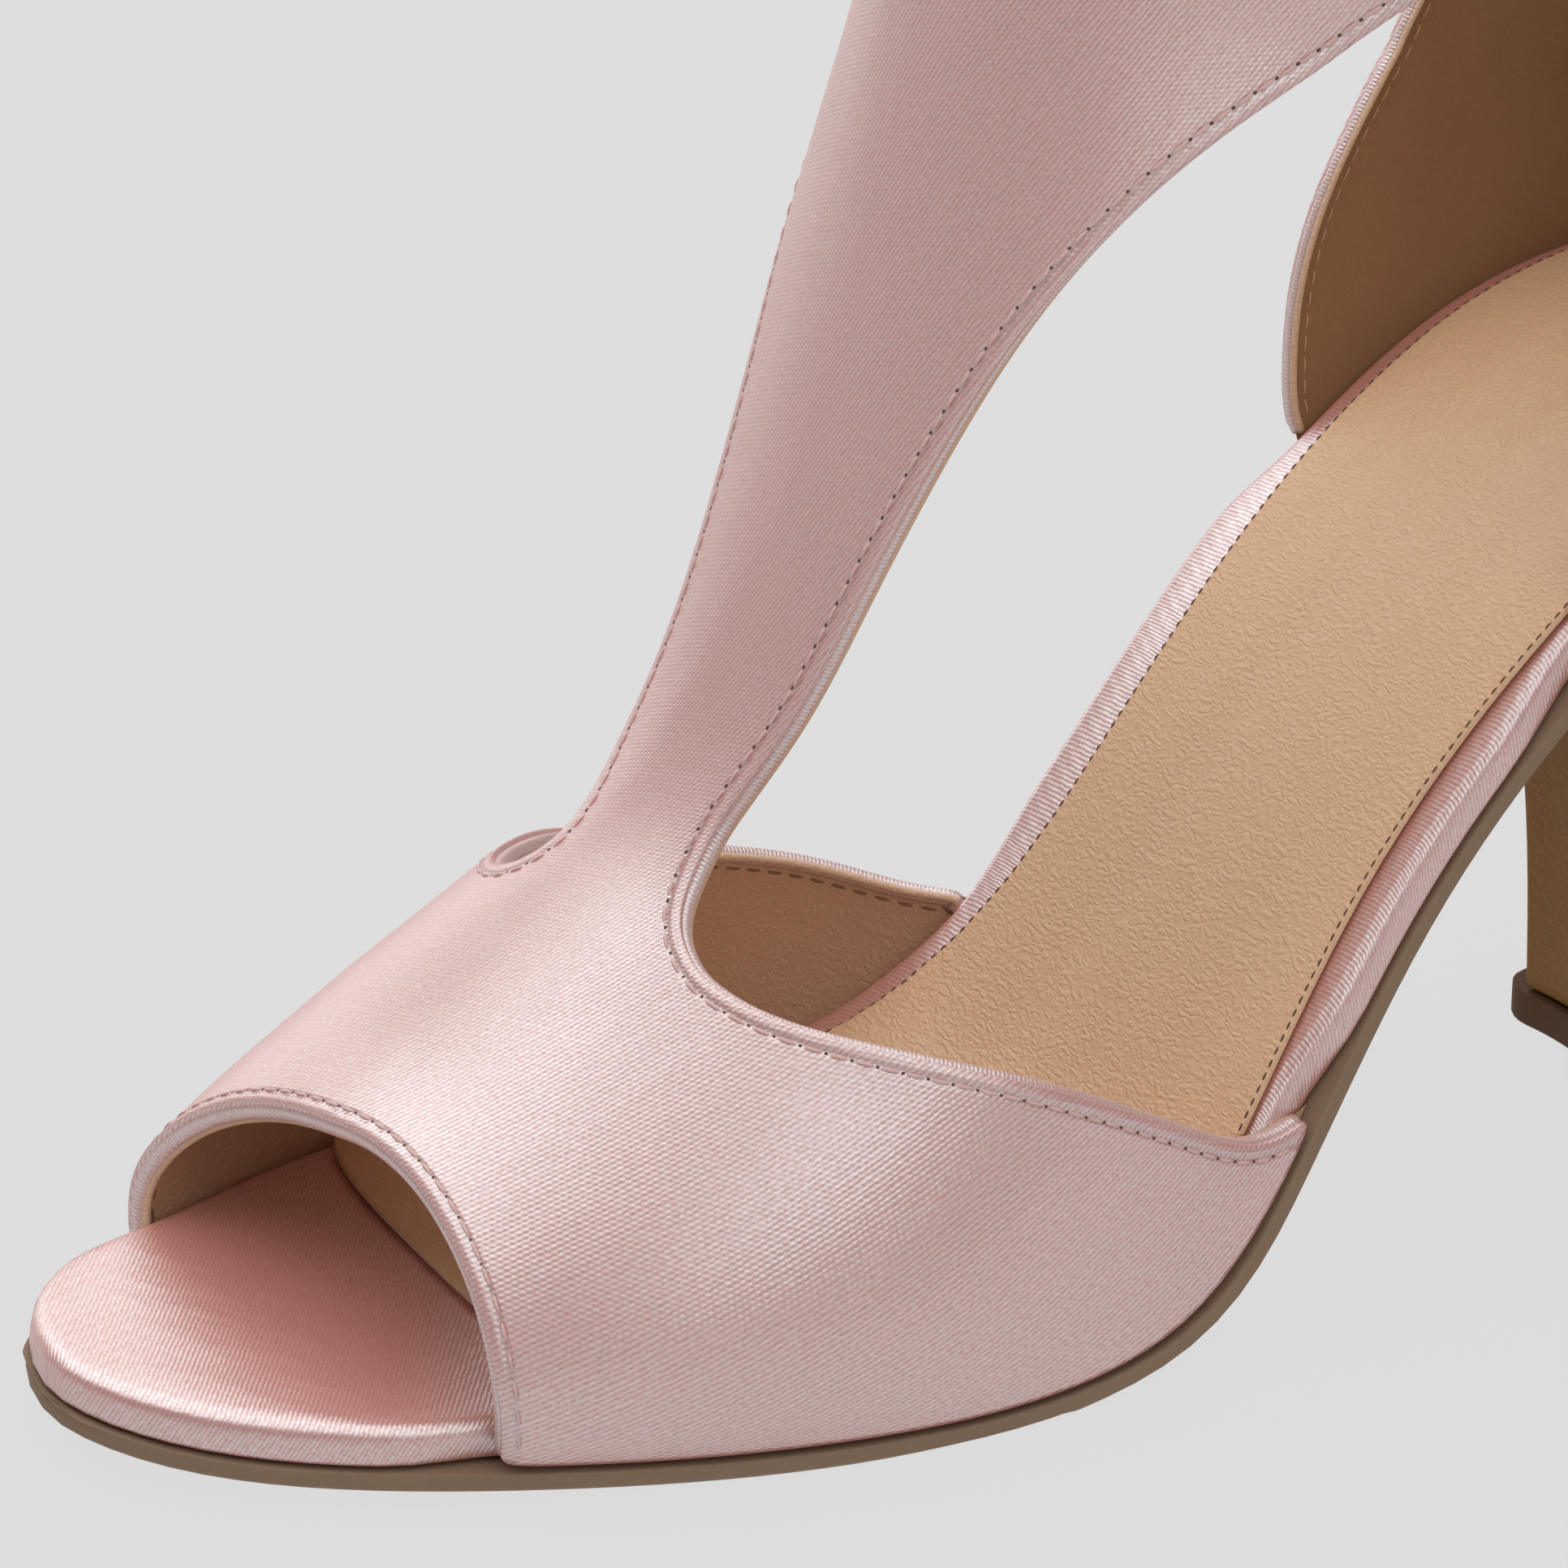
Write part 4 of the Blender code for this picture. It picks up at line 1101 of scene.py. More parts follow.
@dataclass
class Finishes:
    """All the finishes of the shoe, each made once."""

    satin: bpy.types.Material = field(default_factory=lambda: SatinFinish(
        "rose_satin", groove=0.00016).make())
    rand: bpy.types.Material = field(default_factory=lambda: SatinFinish(
        "rand_satin", slant=78.0, pitch=0.00046, roughness=0.36).make())
    heel: bpy.types.Material = field(default_factory=lambda: SatinFinish("heel_satin", slant=75.0).make())
    binding: bpy.types.Material = field(default_factory=lambda: SatinFinish(
        "binding_satin", slant=0.0, pitch=0.00042, cross_pitch=0.0009, depth=0.00004,
        body=(0.490, 0.235, 0.210, 1.0), thread=(0.640, 0.365, 0.335, 1.0)).make())
    lining: bpy.types.Material = field(default_factory=lambda: LeatherFinish(
        "tan_lining", body=(0.430, 0.235, 0.135, 1.0), highlight_and_grain=(0.560, 0.335, 0.205, 1.0)).make())
    turned: bpy.types.Material = field(default_factory=lambda: LeatherFinish(
        "turned_lining", body=(0.560, 0.350, 0.225, 1.0), highlight_and_grain=(0.700, 0.480, 0.330, 1.0),
        roughness=0.5).make())
    suede: bpy.types.Material = field(default_factory=lambda: SuedeFinish("brown_suede").make())
    sock: bpy.types.Material = field(default_factory=lambda: LeatherFinish("tan_sock").make())
    sole: bpy.types.Material = field(default_factory=lambda: RubberFinish("taupe_sole").make())
    breast: bpy.types.Material = field(default_factory=lambda: LeatherFinish(
        "brown_breast", body=(0.200, 0.088, 0.018, 1.0), highlight_and_grain=(0.270, 0.125, 0.032, 1.0), grain=900.0,
        ripple=0.0002, gloss=0.2).make())
    lift: bpy.types.Material = field(default_factory=lambda: RubberFinish(
        "dark_lift", body=(0.062, 0.022, 0.005, 1.0), scuffed=(0.100, 0.042, 0.013, 1.0),
        roughness=0.6).make())
    pink_thread: bpy.types.Material = field(default_factory=lambda: ThreadFinish(
        "pink_thread", (0.560, 0.310, 0.280, 1.0), (0.780, 0.560, 0.520, 1.0)).make())
    tan_thread: bpy.types.Material = field(default_factory=lambda: ThreadFinish(
        "tan_thread", (0.400, 0.215, 0.110, 1.0), (0.560, 0.340, 0.200, 1.0)).make())
    brown_thread: bpy.types.Material = field(default_factory=lambda: ThreadFinish(
        "brown_thread", (0.170, 0.080, 0.035, 1.0), (0.260, 0.135, 0.065, 1.0), 0.7).make())
    # Dark thread for the sock's edge dashes, also used as painted shade on the needle holes.
    dark_thread_and_hole_shade: bpy.types.Material = field(default_factory=lambda: ThreadFinish(
        "dark_thread_and_hole_shade", (0.090, 0.035, 0.020, 1.0), (0.150, 0.070, 0.045, 1.0), 0.8).make())



# Sub-assemblies


@dataclass
class Upper:
    """The satin vamp, T-strap, collar and counter, with linings, edge trims and stitches."""

    finishes: Finishes
    rim_bend: float = 50.0
    stray_faces: int = 3
    shortest_edge: float = 0.02
    edge_crease: float = 0.85
    levels: int = 2
    seam_half: float = 0.012
    seam_lean: float = 4.0
    seam_pull: float = 6.0
    seam_width: float = 0.01
    vamp_before: float = -0.11
    peep_before: float = -0.135
    near_sole: float = 0.0011
    above_sole: float = 0.0060
    facing_down: float = -0.35
    widest_half: float = 0.0011
    wall_turns: int = 4
    even_turns: int = 6
    collar_step: float = 0.0012
    note_step: float = 0.0004
    suede_from: float = -0.052
    fewest_stitches: int = 4
    trim: EdgeTrim = field(default_factory=EdgeTrim)
    lining_edge: EdgeTrim = field(default_factory=lambda: EdgeTrim(
        bead_half=0.00042, bead_reach=0.00040, bead_shift=-0.00052,
        slim_half=0.00034, slim_reach=0.00030, slim_shift=-0.00060, sides=10))
    row: StitchRow = field(default_factory=StitchRow)
    # Small dark blobs at the needle holes: painted shade of the holes.
    hole_shade: StitchRow = field(default_factory=lambda: StitchRow(
        length=0.00050, width=0.00046, height=0.00022, arch=0.0))
    under: StitchRow = field(default_factory=lambda: StitchRow(
        inset=0.0017, length=0.0018, width=0.00032, height=0.00022))

    def build(self) -> None:
        """Builds and dresses every piece of the upper."""
        coarse = quads_of("upper")
        kinds = self._kinds(coarse)
        self._split_rim(coarse, kinds)
        skin = self._part(coarse, outside=True)
        lining = self._part(coarse, outside=False)
        self._seam(skin)
        guide = BVHTree.FromBMesh(self._only_outer(skin))
        outside = self._flattened(skin, "upper_satin")
        inside = rounded(lining, "upper_lining", self.levels)
        runs = self._free_edges(outside, guide)
        self._note_edge(outside.data, runs)
        hand_in(outside, Slot.SATIN, self.finishes.satin, ("upper",))
        counter = self._line(inside)
        self._trim_and_stitch(runs, tree_of(outside), tree_of(inside), tree_of(counter))

    def _kinds(self, bm: bmesh.types.BMesh) -> dict[int, Skin]:
        """Sorts the wall's faces into outer skin, inner skin and rim.

        Args:
            bm: The wall's mesh.

        Returns:
            The kind of each face by number.
        """
        groups = smooth_groups(bm, self.rim_bend)
        kinds = {face.index: Skin.RIM for face in bm.faces}
        for group, kind in zip(groups, (Skin.OUTER, Skin.INNER)):
            for face in group:
                kinds[face.index] = kind
        for group in groups[2:]:
            if len(group) > self.stray_faces:
                continue
            members = {face.index for face in group}
            joints = [(edge.calc_face_angle(math.pi), other) for face in group for edge in face.edges
                      for other in edge.link_faces if other.index not in members]
            nearest = min(joints, key=lambda joint: joint[0])[1]
            for face in group:
                kinds[face.index] = kinds[nearest.index]
        return kinds

    def _split_rim(self, bm: bmesh.types.BMesh, kinds: dict[int, Skin]) -> None:
        """Parts the rim along the middle of the wall, and marks each face's side.

        Args:
            bm: The wall's mesh, which gets the face layers "side" and "rim".
            kinds: The kind of each face by number.
        """
        side = bm.faces.layers.int.new("side")
        rim = bm.faces.layers.int.new("rim")
        outer = {v for f in bm.faces if kinds[f.index] is Skin.OUTER for v in f.verts}
        inner = {v for f in bm.faces if kinds[f.index] is Skin.INNER for v in f.verts}
        for face in bm.faces:
            face[side] = 1 if kinds[face.index] is Skin.INNER else 0
            face[rim] = 1 if kinds[face.index] is Skin.RIM else 0
        across = [e for e in bm.edges
                  if all(kinds[f.index] is Skin.RIM for f in e.link_faces)
                  and ((e.verts[0] in outer and e.verts[1] in inner)
                       or (e.verts[1] in outer and e.verts[0] in inner))]
        bmesh.ops.subdivide_edges(bm, edges=across, cuts=1, use_grid_fill=True)
        for face in bm.faces:
            if face[rim]:
                face[side] = 1 if any(v in inner for v in face.verts) and not any(
                    v in outer for v in face.verts) else 0
        crease = bm.edges.layers.float.get("crease_edge") or bm.edges.layers.float.new("crease_edge")
        for edge in bm.edges:
            if len(edge.link_faces) == 2 and edge.link_faces[0][rim] != edge.link_faces[1][rim]:
                edge[crease] = self.edge_crease
        bm.normal_update()

    @staticmethod
    def _part(bm: bmesh.types.BMesh, outside: bool) -> bmesh.types.BMesh:
        """Copies the faces of one side of the wall.

        Args:
            bm: The wall's mesh.
            outside: Whether the outer side is wanted.

        Returns:
            The copy.
        """
        part = bm.copy()
        side = part.faces.layers.int.get("side")
        wrong = [f for f in part.faces if bool(f[side]) is outside]
        bmesh.ops.delete(part, geom=wrong, context="FACES")
        return part

    @staticmethod
    def _only_outer(bm: bmesh.types.BMesh) -> bmesh.types.BMesh:
        """Copies the outer skin without its rim.

        Args:
            bm: The outer side's mesh.

        Returns:
            The copy.
        """
        part = bm.copy()
        rim = part.faces.layers.int.get("rim")
        bmesh.ops.delete(part, geom=[f for f in part.faces if f[rim]], context="FACES")
        return part

    def _seam(self, bm: bmesh.types.BMesh) -> None:
        """Marks the seam at the back, from the collar down to the heel seat, for laying the cloth flat.

        Args:
            bm: The outer side's mesh.
        """
        bm.verts.index_update()
        bm.verts.ensure_lookup_table()
        border = [v for v in bm.verts if v.is_boundary and v.co.y > 0.0 and abs(v.co.x) < self.seam_half]
        top = max(border, key=lambda v: v.co.z - self.seam_lean * abs(v.co.x))
        foot = min(border, key=lambda v: v.co.z + self.seam_lean * abs(v.co.x))
        cost = {top.index: 0.0}
        came: dict[int, bmesh.types.BMEdge] = {}
        heap = [(0.0, top.index)]
        while heap:
            spent, number = heapq.heappop(heap)
            if number == foot.index:
                break
            if spent > cost[number]:
                continue
            vertex = bm.verts[number]
            for edge in vertex.link_edges:
                other = edge.other_vert(vertex)
                length = edge.calc_length()
                total = spent + length + self.seam_pull * abs(other.co.x) * length / self.seam_width
                if total < cost.get(other.index, math.inf):
                    cost[other.index] = total
                    came[other.index] = edge
                    heapq.heappush(heap, (total, other.index))
        here = foot
        while here.index in came and here is not top:
            edge = came[here.index]
            edge.seam = True
            here = edge.other_vert(here)

    def _flattened(self, bm: bmesh.types.BMesh, name: str) -> bpy.types.Object:
        """Lays the satin flat as a cutter's pattern, in metres, and rounds it.

        Args:
            bm: The satin's coarse mesh, with its seam.
            name: The piece's name.

        Returns:
            The piece, with its "cloth" UV layer running along the shoe on the vamp.
        """
        mesh = bpy.data.meshes.new("pattern")
        bm.to_mesh(mesh)
        mesh.uv_layers.new(name="cloth")
        pattern = new_object("pattern", mesh)
        bpy.context.view_layer.objects.active = pattern
        pattern.select_set(True)
        bpy.ops.object.mode_set(mode="EDIT")
        bpy.ops.mesh.select_all(action="SELECT")
        bpy.ops.uv.unwrap(method="ANGLE_BASED", margin=0.0)
        bpy.ops.object.mode_set(mode="OBJECT")
        self._turn_pattern(mesh)
        layered = bmesh.new()
        layered.from_mesh(mesh)
        piece = rounded(layered, name, self.levels)
        bpy.data.objects.remove(pattern)
        return piece

    def _turn_pattern(self, mesh: bpy.types.Mesh) -> None:
        """Scales the flat pattern to metres, and turns it so that the vamp runs along the shoe.

        Args:
            mesh: The satin, whose "cloth" UV layer is changed.
        """
        layer = mesh.uv_layers["cloth"]
        spots = np.array([tuple(d.uv) for d in layer.data])
        solid = flat = 0.0
        pull = np.zeros(2)
        for polygon in mesh.polygons:
            loops = list(polygon.loop_indices)
            ring = spots[loops]
            solid += polygon.area
            flat += 0.5 * abs(np.dot(ring[:, 0], np.roll(ring[:, 1], -1))
                              - np.dot(ring[:, 1], np.roll(ring[:, 0], -1)))
            if polygon.center.y < self.vamp_before:
                places = np.array([tuple(mesh.vertices[mesh.loops[k].vertex_index].co) for k in loops])
                spread = ring - ring.mean(0)
                pull += spread.T @ (places[:, 1] - places[:, 1].mean())
        scale = math.sqrt(solid / max(flat, TINY))
        turn = math.atan2(pull[1], pull[0])
        matrix = np.array([[math.cos(turn), math.sin(turn)], [-math.sin(turn), math.cos(turn)]])
        spots = (spots @ matrix.T) * scale
        for datum, spot in zip(layer.data, spots):
            datum.uv = spot

    def _free_edges(self, piece: bpy.types.Object, guide: BVHTree) -> dict[EdgeRun, FreeEdge]:
        """Finds the free edges of the satin, as runs along the middle of the rim.

        Args:
            piece: The rounded satin.
            guide: A search tree of the outer skin alone.

        Returns:
            The run of each named edge.
        """
        mesh = piece.data
        uses: dict[tuple[int, int], int] = {}
        for polygon in mesh.polygons:
            for key in polygon.edge_keys:
                uses[key] = uses.get(key, 0) + 1
        border = [key for key, count in uses.items() if count == 1]
        facing = np.zeros((len(mesh.vertices), 3))
        rim_vertices = {v for key in border for v in key}
        for polygon in mesh.polygons:
            for vertex in polygon.vertices:
                if vertex in rim_vertices:
                    facing[vertex] += np.array(polygon.normal) * polygon.area
        soles = [tree_of(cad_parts[name]) for name in ("outsole", "heel_block")]
        runs: dict[EdgeRun, FreeEdge] = {}
        for loop in closed_loops(border):
            whole = self._run(mesh, loop, facing, guide)
            away = np.array([min(t.find_nearest(Vector(p))[3] for t in soles) for p in whole.points])
            under = (whole.out[:, 2] < self.facing_down) & (away < self.above_sole)
            rests = (away < self.near_sole) | under
            if not rests.any():
                if whole.length() > self.shortest_edge:
                    runs[EdgeRun.COLLAR] = self._upright(whole)
                continue
            for start, stop in self._stretches(~rests):
                take = [(k % len(loop)) for k in range(start, stop)]
                run = FreeEdge(whole.points[take], whole.out[take], whole.wall[take], whole.half[take])
                if run.length() < self.shortest_edge:
                    continue
                middle = run.points.mean(0)
                kind = (EdgeRun.PEEP if middle[1] < self.peep_before else
                        EdgeRun.OUTER_SIDE if middle[0] > 0.0 else EdgeRun.INNER_SIDE)
                runs[kind] = run
        return runs

    def _run(self, mesh: bpy.types.Mesh, loop: Sequence[int], facing: np.ndarray, guide: BVHTree) -> FreeEdge:
        """Frames a closed loop of rim vertices with its outward and wall directions.

        Args:
            mesh: The rounded satin's mesh.
            loop: The numbers of the loop's vertices.
            facing: The way that each vertex of the mesh faces.
            guide: A search tree of the outer skin alone.

        Returns:
            The closed run.
        """
        points = np.array([tuple(mesh.vertices[k].co) for k in loop])
        along = ring_direction(points)
        wall, half = [], []
        for point in points:
            _, normal, _, distance = guide.find_nearest(Vector(point))
            wall.append(tuple(normal))
            half.append(distance)
        wall_rows = eased(np.array(wall), self.wall_turns, True)
        wall_rows = unit(wall_rows - along * np.sum(wall_rows * along, 1, keepdims=True))
        out = np.cross(along, wall_rows)
        sign = np.sign(np.sum(out * facing[list(loop)], 1).sum())
        out = unit(out * (sign if sign else 1.0))
        halves = eased(np.minimum(np.array(half), self.widest_half)[:, None], self.even_turns, True)[:, 0]
        return FreeEdge(points, out, wall_rows, halves, True)

    def _upright(self, ring: FreeEdge) -> FreeEdge:
        """Evens a level ring and stands its frame upright, where the rounded edge makes its normals lean.

        Args:
            ring: The closed run.

        Returns:
            The upright run.
        """
        even = ring.resampled(self.collar_step)
        points = eased(even.points, self.even_turns, True)
        along = ring_direction(points)
        wall = unit(np.cross(along, UP))
        if np.sum((points - points.mean(0)) * wall) < 0.0:
            wall = -wall
        out = unit(np.cross(wall, along))
        return FreeEdge(points, out * np.sign(out[:, 2:]), wall, even.half, True)

    @staticmethod
    def _stretches(free: np.ndarray) -> list[tuple[int, int]]:
        """Finds each unbroken stretch in a ring of flags.

        Args:
            free: The flags.

        Returns:
            The start and stop of each stretch, one place wider at both ends.
        """
        count = len(free)
        first = next(k for k in range(count) if not free[k])
        found, k = [], first
        while k < first + count:
            if free[k % count]:
                start = k
                while k < first + count and free[k % count]:
                    k += 1
                found.append((start - 1, k + 1))
            else:
                k += 1
        return found

    def _note_edge(self, mesh: bpy.types.Mesh, runs: dict[EdgeRun, FreeEdge]) -> None:
        """Keeps each vertex's distance from the free edge on the mesh.

        Args:
            mesh: The rounded satin's mesh, which gets the attribute "edge".
            runs: The run of each named edge.
        """
        dense = [run.resampled(self.note_step) for run in runs.values()]
        corners = [p + w * h for run in dense for p, w, h in zip(run.points, run.wall, run.half)]
        tree = KDTree(len(corners))
        for k, corner in enumerate(corners):
            tree.insert(Vector(corner), k)
        tree.balance()
        layer = mesh.attributes.new("edge", "FLOAT", "POINT")
        layer.data.foreach_set("value", [tree.find(v.co)[2] for v in mesh.vertices])

    def _line(self, inside: bpy.types.Object) -> bpy.types.Object:
        """Parts the lining into the tan leather front and the brown suede counter.

        Args:
            inside: The whole lining, which becomes its front.

        Returns:
            The counter's lining.
        """
        counter = new_object("counter_lining", inside.data.copy())
        for piece, front in ((inside, True), (counter, False)):
            bm = bmesh.new()
            bm.from_mesh(piece.data)
            bmesh.ops.bisect_plane(bm, geom=bm.verts[:] + bm.edges[:] + bm.faces[:], clear_outer=front,
                                   clear_inner=not front, plane_co=(0.0, self.suede_from, 0.0),
                                   plane_no=(0.0, 1.0, 0.0))
            bm.to_mesh(piece.data)
        hand_in(inside, Slot.SOCK, self.finishes.lining)
        hand_in(counter, Slot.BREAST, self.finishes.suede)
        return counter

    def _trim_and_stitch(self, runs: dict[EdgeRun, FreeEdge], skin: BVHTree, front: BVHTree,
                         back: BVHTree) -> None:
        """Adds the trims, the stitches and their needle holes along every free edge.

        Args:
            runs: The run of each named edge.
            skin: A search tree of the satin.
            front: A search tree of the tan lining.
            back: A search tree of the counter's lining.
        """
        finishes = self.finishes
        for kind, run in runs.items():
            edge = kind.value
            spots = self.row.spots(run, skin, 1.0)
            holes = self.row.pricks(spots)
            hand_in(self.trim.build(f"trim_{edge}", run), Slot.SATIN, finishes.binding)
            hand_in(self.lining_edge.build(f"lining_edge_{edge}", run), Slot.SOCK, finishes.turned)
            hand_in(self.row.build(f"stitches_{edge}", spots), Slot.SATIN, finishes.pink_thread)
            # Painted shade: dark blobs where the needle holes are.
            hand_in(self.hole_shade.build(f"needle_hole_shade_{edge}", holes), Slot.LIFT, finishes.dark_thread_and_hole_shade)
            for label, tree, thread in (("front", front, finishes.brown_thread),
                                        ("back", back, finishes.tan_thread)):
                found = self.under.spots(run, tree, -1.0)
                if len(found) >= self.fewest_stitches:
                    hand_in(self.under.build(f"lining_stitches_{label}_{edge}", found), Slot.SOCK, thread)


@dataclass
class Footbed:
    """The satin-wrapped insole board with its tan sock."""

    finishes: Finishes
    board_edge: float = 0.0009
    sock_edge: float = 0.00035
    bins: int = 90
    toe_cloth_to: float = -0.125
    toe_turn: float = 133.0
    sock_bend: float = 14.0
    dash_overhang: float = 0.00025
    dashes: StitchRow = field(default_factory=lambda: StitchRow(
        pitch=0.00135, length=0.00095, width=0.00020, height=0.00016, inset=0.0))

    def build(self) -> None:
        """Builds and dresses the board, the sock and the sock's edge stitches."""
        board = rounded(quads_of("insole_board"), "rand_satin", 1, self.board_edge)
        lay_cloth(board.data, self._along_board(board.data))
        hand_in(board, Slot.SATIN, self.finishes.rand, ("insole_board",))
        sock = rounded(quads_of("insole_sock"), "sock", 1, self.sock_edge)
        hand_in(sock, Slot.SOCK, self.finishes.sock, ("insole_sock",))
        spots = self.dashes.spots(self._sock_border(), tree_of(sock), 1.0)
        hand_in(self.dashes.build("sock_edge_stitches", spots), Slot.BREAST, self.finishes.dark_thread_and_hole_shade)

    def _along_board(self, mesh: bpy.types.Mesh) -> Callable[[Vector], tuple[float, float]]:
        """Gives the cloth's layout: along the board's own length and over its edge.

        Args:
            mesh: The rounded board.

        Returns:
            A function from a place to the two cloth coordinates.
        """
        rows = np.array([tuple(v.co) for v in mesh.vertices])
        low, high = rows[:, 1].min(), rows[:, 1].max()
        places = np.linspace(low, high, self.bins)
        number = ((rows[:, 1] - low) / (high - low) * (self.bins - 1)).round().astype(int)
        tops = np.full(self.bins, np.nan)
        for k in range(self.bins):
            chosen = rows[number == k]
            if len(chosen):
                tops[k] = chosen[:, 2].max()
        known = ~np.isnan(tops)
        tops = np.interp(places, places[known], tops[known])
        steps = np.hypot(np.diff(places), np.diff(tops))
        run = np.concatenate([[0.0], np.cumsum(steps)])
        turn = math.radians(self.toe_turn)

        def place(co: Vector) -> tuple[float, float]:
            """Lays one point flat, with the toe's cloth cut at its own angle.

            Args:
                co: The point.

            Returns:
                Its two cloth coordinates.
            """
            top = float(np.interp(co.y, places, tops))
            u, v = float(np.interp(co.y, places, run)), co.x + math.copysign(max(top - co.z, 0.0), co.x)
            if co.y > self.toe_cloth_to:
                return u, v
            return u * math.cos(turn) - v * math.sin(turn), u * math.sin(turn) + v * math.cos(turn)

        return place

    def _sock_border(self) -> FreeEdge:
        """Finds the border of the sock's top, for the dashes just inside its edge.

        Returns:
            The border as a closed run.
        """
        bm = quads_of("insole_sock")
        top = next(g for g in smooth_groups(bm, self.sock_bend)
                   if sum(f.normal.z * f.calc_area() for f in g) > 0.5 * sum(f.calc_area() for f in g))
        numbers = {f.index for f in top}
        pairs = [(e.verts[0].index, e.verts[1].index) for f in top for e in f.edges
                 if sum(1 for o in e.link_faces if o.index in numbers) == 1]
        points = np.array([tuple(bm.verts[k].co) for k in closed_loops(pairs)[0]])
        inward = unit(np.cross(ring_direction(points), UP))
        if np.sum((points.mean(0) - points) * inward) < 0:
            inward = -inward
        return FreeEdge(points - inward * self.dash_overhang, -inward, np.tile(UP, (len(points), 1)),
                        np.zeros(len(points)), True)


@dataclass
class Bottom:
    """The outsole, the wrapped heel, its breast cover and the top lift."""

    finishes: Finishes
    sole_edge: float = 0.00024
    heel_edge: float = 0.0006
    breast_edge: float = 0.0003
    lift_edge: float = 0.0005
    heel_middle: float = 0.006
    heel_radius: float = 0.020

    def build(self) -> None:
        """Builds and dresses the pieces under the footbed."""
        for node, name, edge, slot, finish in (
                ("outsole", "sole", self.sole_edge, Slot.SOLE, self.finishes.sole),
                ("heel_block", "heel", self.heel_edge, Slot.SATIN, self.finishes.heel),
                ("heel_breast_cover", "breast", self.breast_edge, Slot.BREAST, self.finishes.breast),
                ("top_lift", "lift", self.lift_edge, Slot.LIFT, self.finishes.lift)):
            piece = rounded(quads_of(node), name, 1, edge)
            if slot is Slot.SATIN:
                lay_cloth(piece.data, self._round_heel)
            hand_in(piece, slot, finish, (node,))

    def _round_heel(self, co: Vector) -> tuple[float, float]:
        """Lays the heel's cloth around it and up it."""
        return math.atan2(co.x, -(co.y - self.heel_middle)) * self.heel_radius, co.z


@dataclass(frozen=True)
class Softbox:
    """One soft rectangular lamp, by its place, its width and height, and how bright its face is."""

    name: str
    place: tuple[float, float, float]
    size: tuple[float, float]
    radiance: float

    def hang(self, aim: Sequence[float]) -> None:
        """Hangs the lamp.

        Args:
            aim: The point that it faces.
        """
        data = bpy.data.lights.new(self.name, "AREA")
        data.shape = "RECTANGLE"
        data.size, data.size_y = self.size
        data.energy = self.radiance * math.pi * self.size[0] * self.size[1]
        lamp = bpy.data.objects.new(self.name, data)
        lamp.location = self.place
        lamp.rotation_euler = (Vector(aim) - Vector(self.place)).to_track_quat("-Z", "Y").to_euler()
        bpy.context.scene.collection.objects.link(lamp)


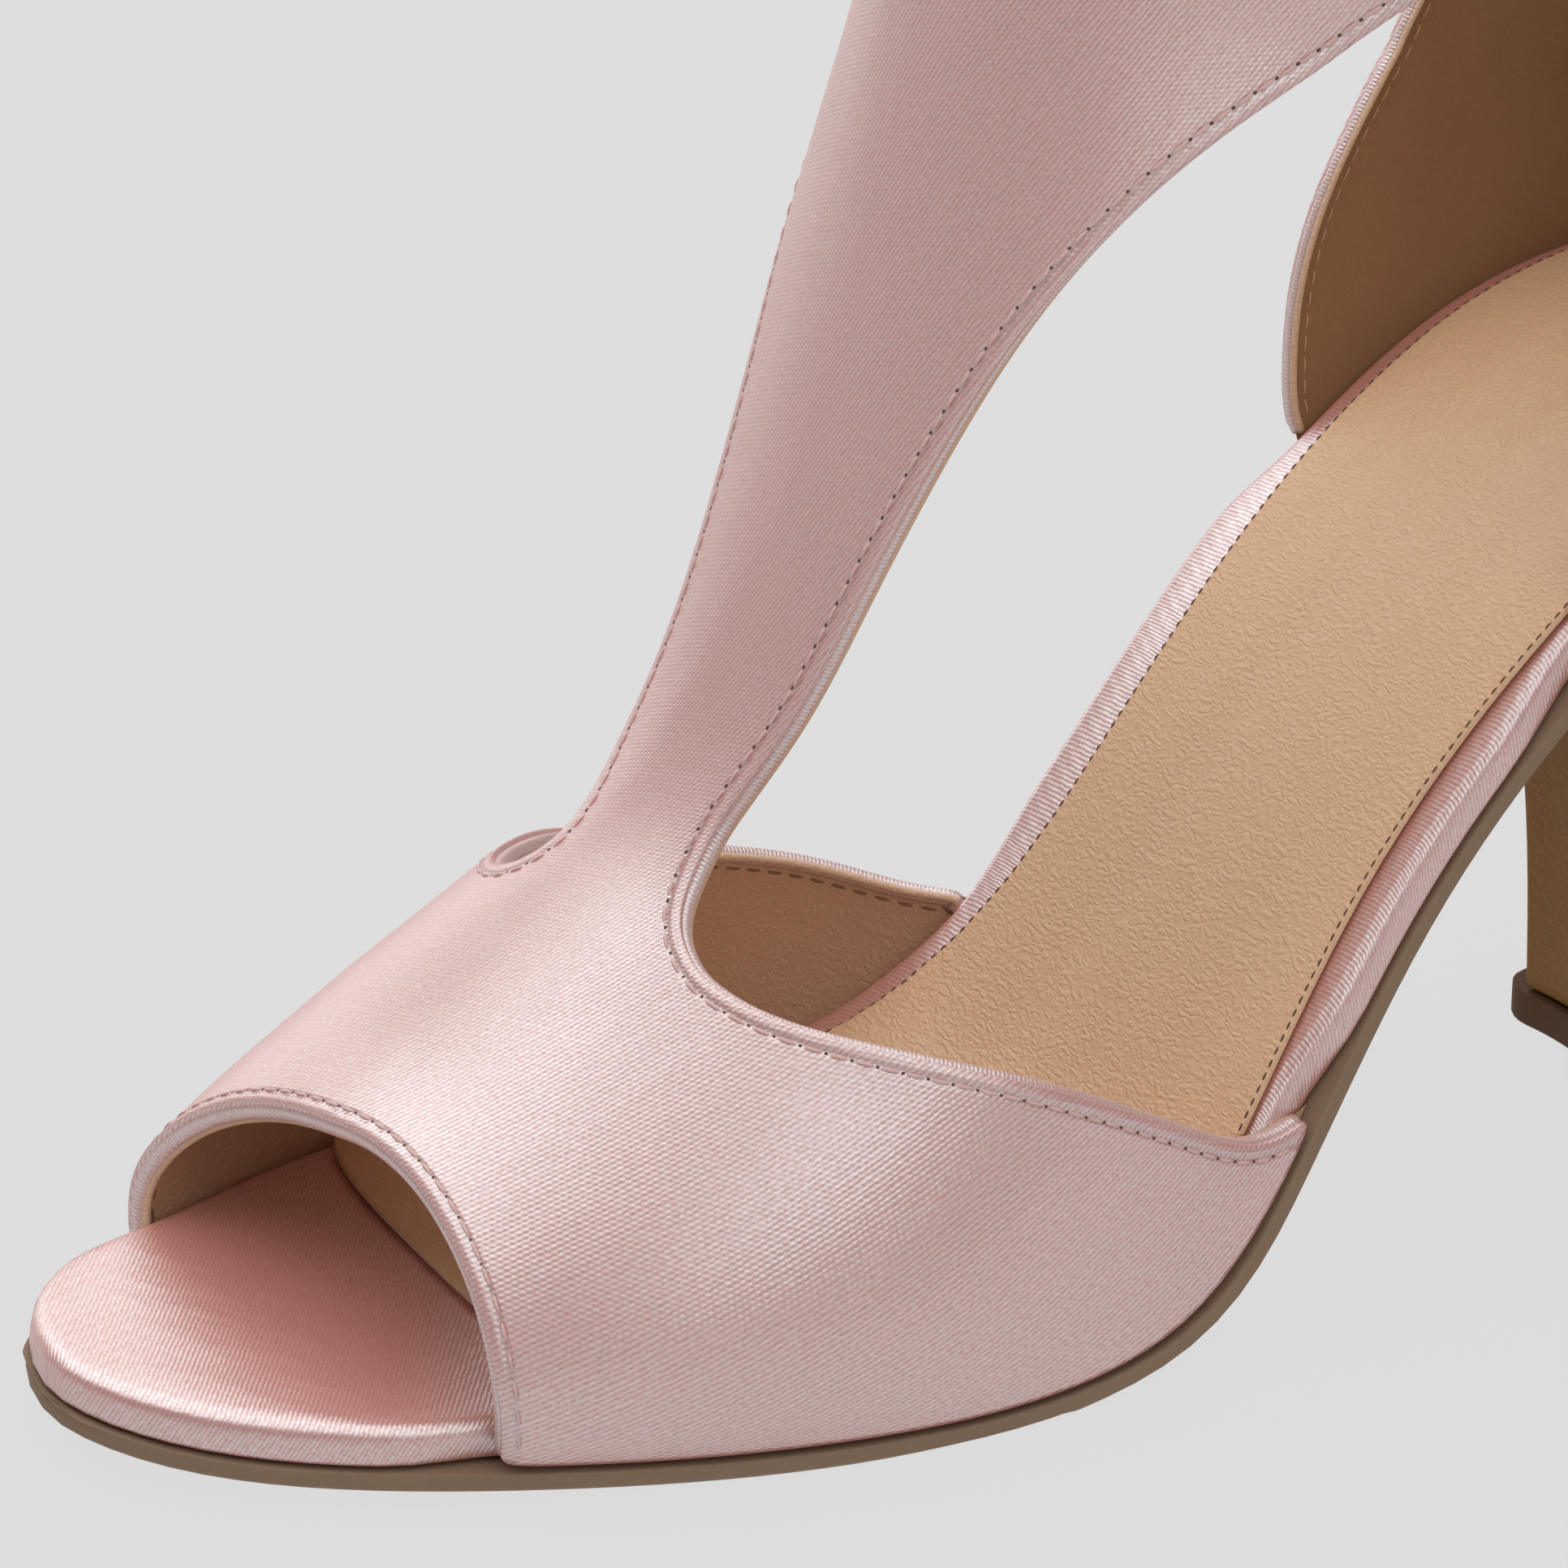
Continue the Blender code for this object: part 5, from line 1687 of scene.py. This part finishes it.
@dataclass
class Studio:
    """The floor, the soft lights and the camera at the photograph's angle."""

    eye: tuple[float, float, float] = (0.4642, -0.3633, 0.2942)
    target: tuple[float, float, float] = (-0.01203, -0.10119, 0.045)
    lens: float = 141.45
    sensor: float = 36.0
    nearest_seen: float = 0.01
    floor_size: float = 9.0
    room: Colour = (0.235, 0.235, 0.235, 1.0)
    backdrop: Colour = (0.73, 0.73, 0.73, 1.0)
    lit_point: tuple[float, float, float] = (0.0, -0.09, 0.06)
    lamps: tuple[Softbox, ...] = (
        Softbox("overhead_softbox", (-0.10, -0.15, 1.15), (1.9, 1.8), 1.45),
        Softbox("key_softbox", (1.10, -0.06, 0.72), (0.80, 0.76), 1.80),
        Softbox("front_left_softbox", (-0.80, -0.62, 0.92), (0.80, 0.55), 1.40),
        Softbox("back_left_softbox", (-1.16, 0.20, 0.78), (1.15, 0.80), 1.55),
        Softbox("low_left_strip", (-1.30, -0.16, 0.17), (0.60, 0.26), 2.30))

    def build(self) -> None:
        """Builds the floor, the lights, the world and the camera."""
        self._floor()
        for lamp in self.lamps:
            lamp.hang(self.lit_point)
        self._world()
        bpy.context.scene.view_settings.view_transform = "Standard"
        self._camera()

    def _world(self) -> None:
        """Makes the room: pale to the camera, dimmer for what the satin reflects near the horizon."""
        world = bpy.data.worlds.new("studio")
        world.use_nodes = True
        tree = world.node_tree
        room = tree.nodes["Background"]
        room.inputs["Color"].default_value = self.room
        backdrop = tree.nodes.new("ShaderNodeBackground")
        backdrop.inputs["Color"].default_value = self.backdrop
        blend = tree.nodes.new("ShaderNodeMixShader")
        seen = tree.nodes.new("ShaderNodeLightPath")
        tree.links.new(seen.outputs["Is Camera Ray"], blend.inputs["Fac"])
        tree.links.new(room.outputs["Background"], blend.inputs[1])
        tree.links.new(backdrop.outputs["Background"], blend.inputs[2])
        tree.links.new(blend.outputs["Shader"], tree.nodes["World Output"].inputs["Surface"])
        bpy.context.scene.world = world

    def _floor(self) -> None:
        """Lays the pale floor that the shoe stands on."""
        half = self.floor_size / 2
        mesh = bpy.data.meshes.new("floor")
        corners = [(-half, -half, 0), (half, -half, 0), (half, half, 0), (-half, half, 0)]
        mesh.from_pydata(corners, [], [(0, 1, 2, 3)])
        mesh.materials.append(FloorFinish("studio_floor").make())
        new_object("floor", mesh)

    def _camera(self) -> None:
        """Sets the camera where the photograph was taken from."""
        data = bpy.data.cameras.new("photo_camera")
        data.lens = self.lens
        data.sensor_width = self.sensor
        data.clip_start = self.nearest_seen
        camera = bpy.data.objects.new("photo_camera", data)
        camera.location = self.eye
        look = (Vector(self.target) - Vector(self.eye)).to_track_quat("-Z", "Y").to_matrix().to_4x4()
        camera.rotation_euler = look.to_euler()
        bpy.context.scene.collection.objects.link(camera)
        bpy.context.scene.camera = camera


def main() -> None:
    """Builds the studio and the shoe's sub-assemblies in order."""
    logging.basicConfig(level=logging.INFO, format="%(name)s: %(message)s")
    Studio().build()
    finishes = Finishes()
    for assembly in (Upper(finishes), Footbed(finishes), Bottom(finishes)):
        logger.info("building %s", type(assembly).__name__)
        assembly.build()
    bpy.context.view_layer.update()


if __name__ == "__main__":
    main()
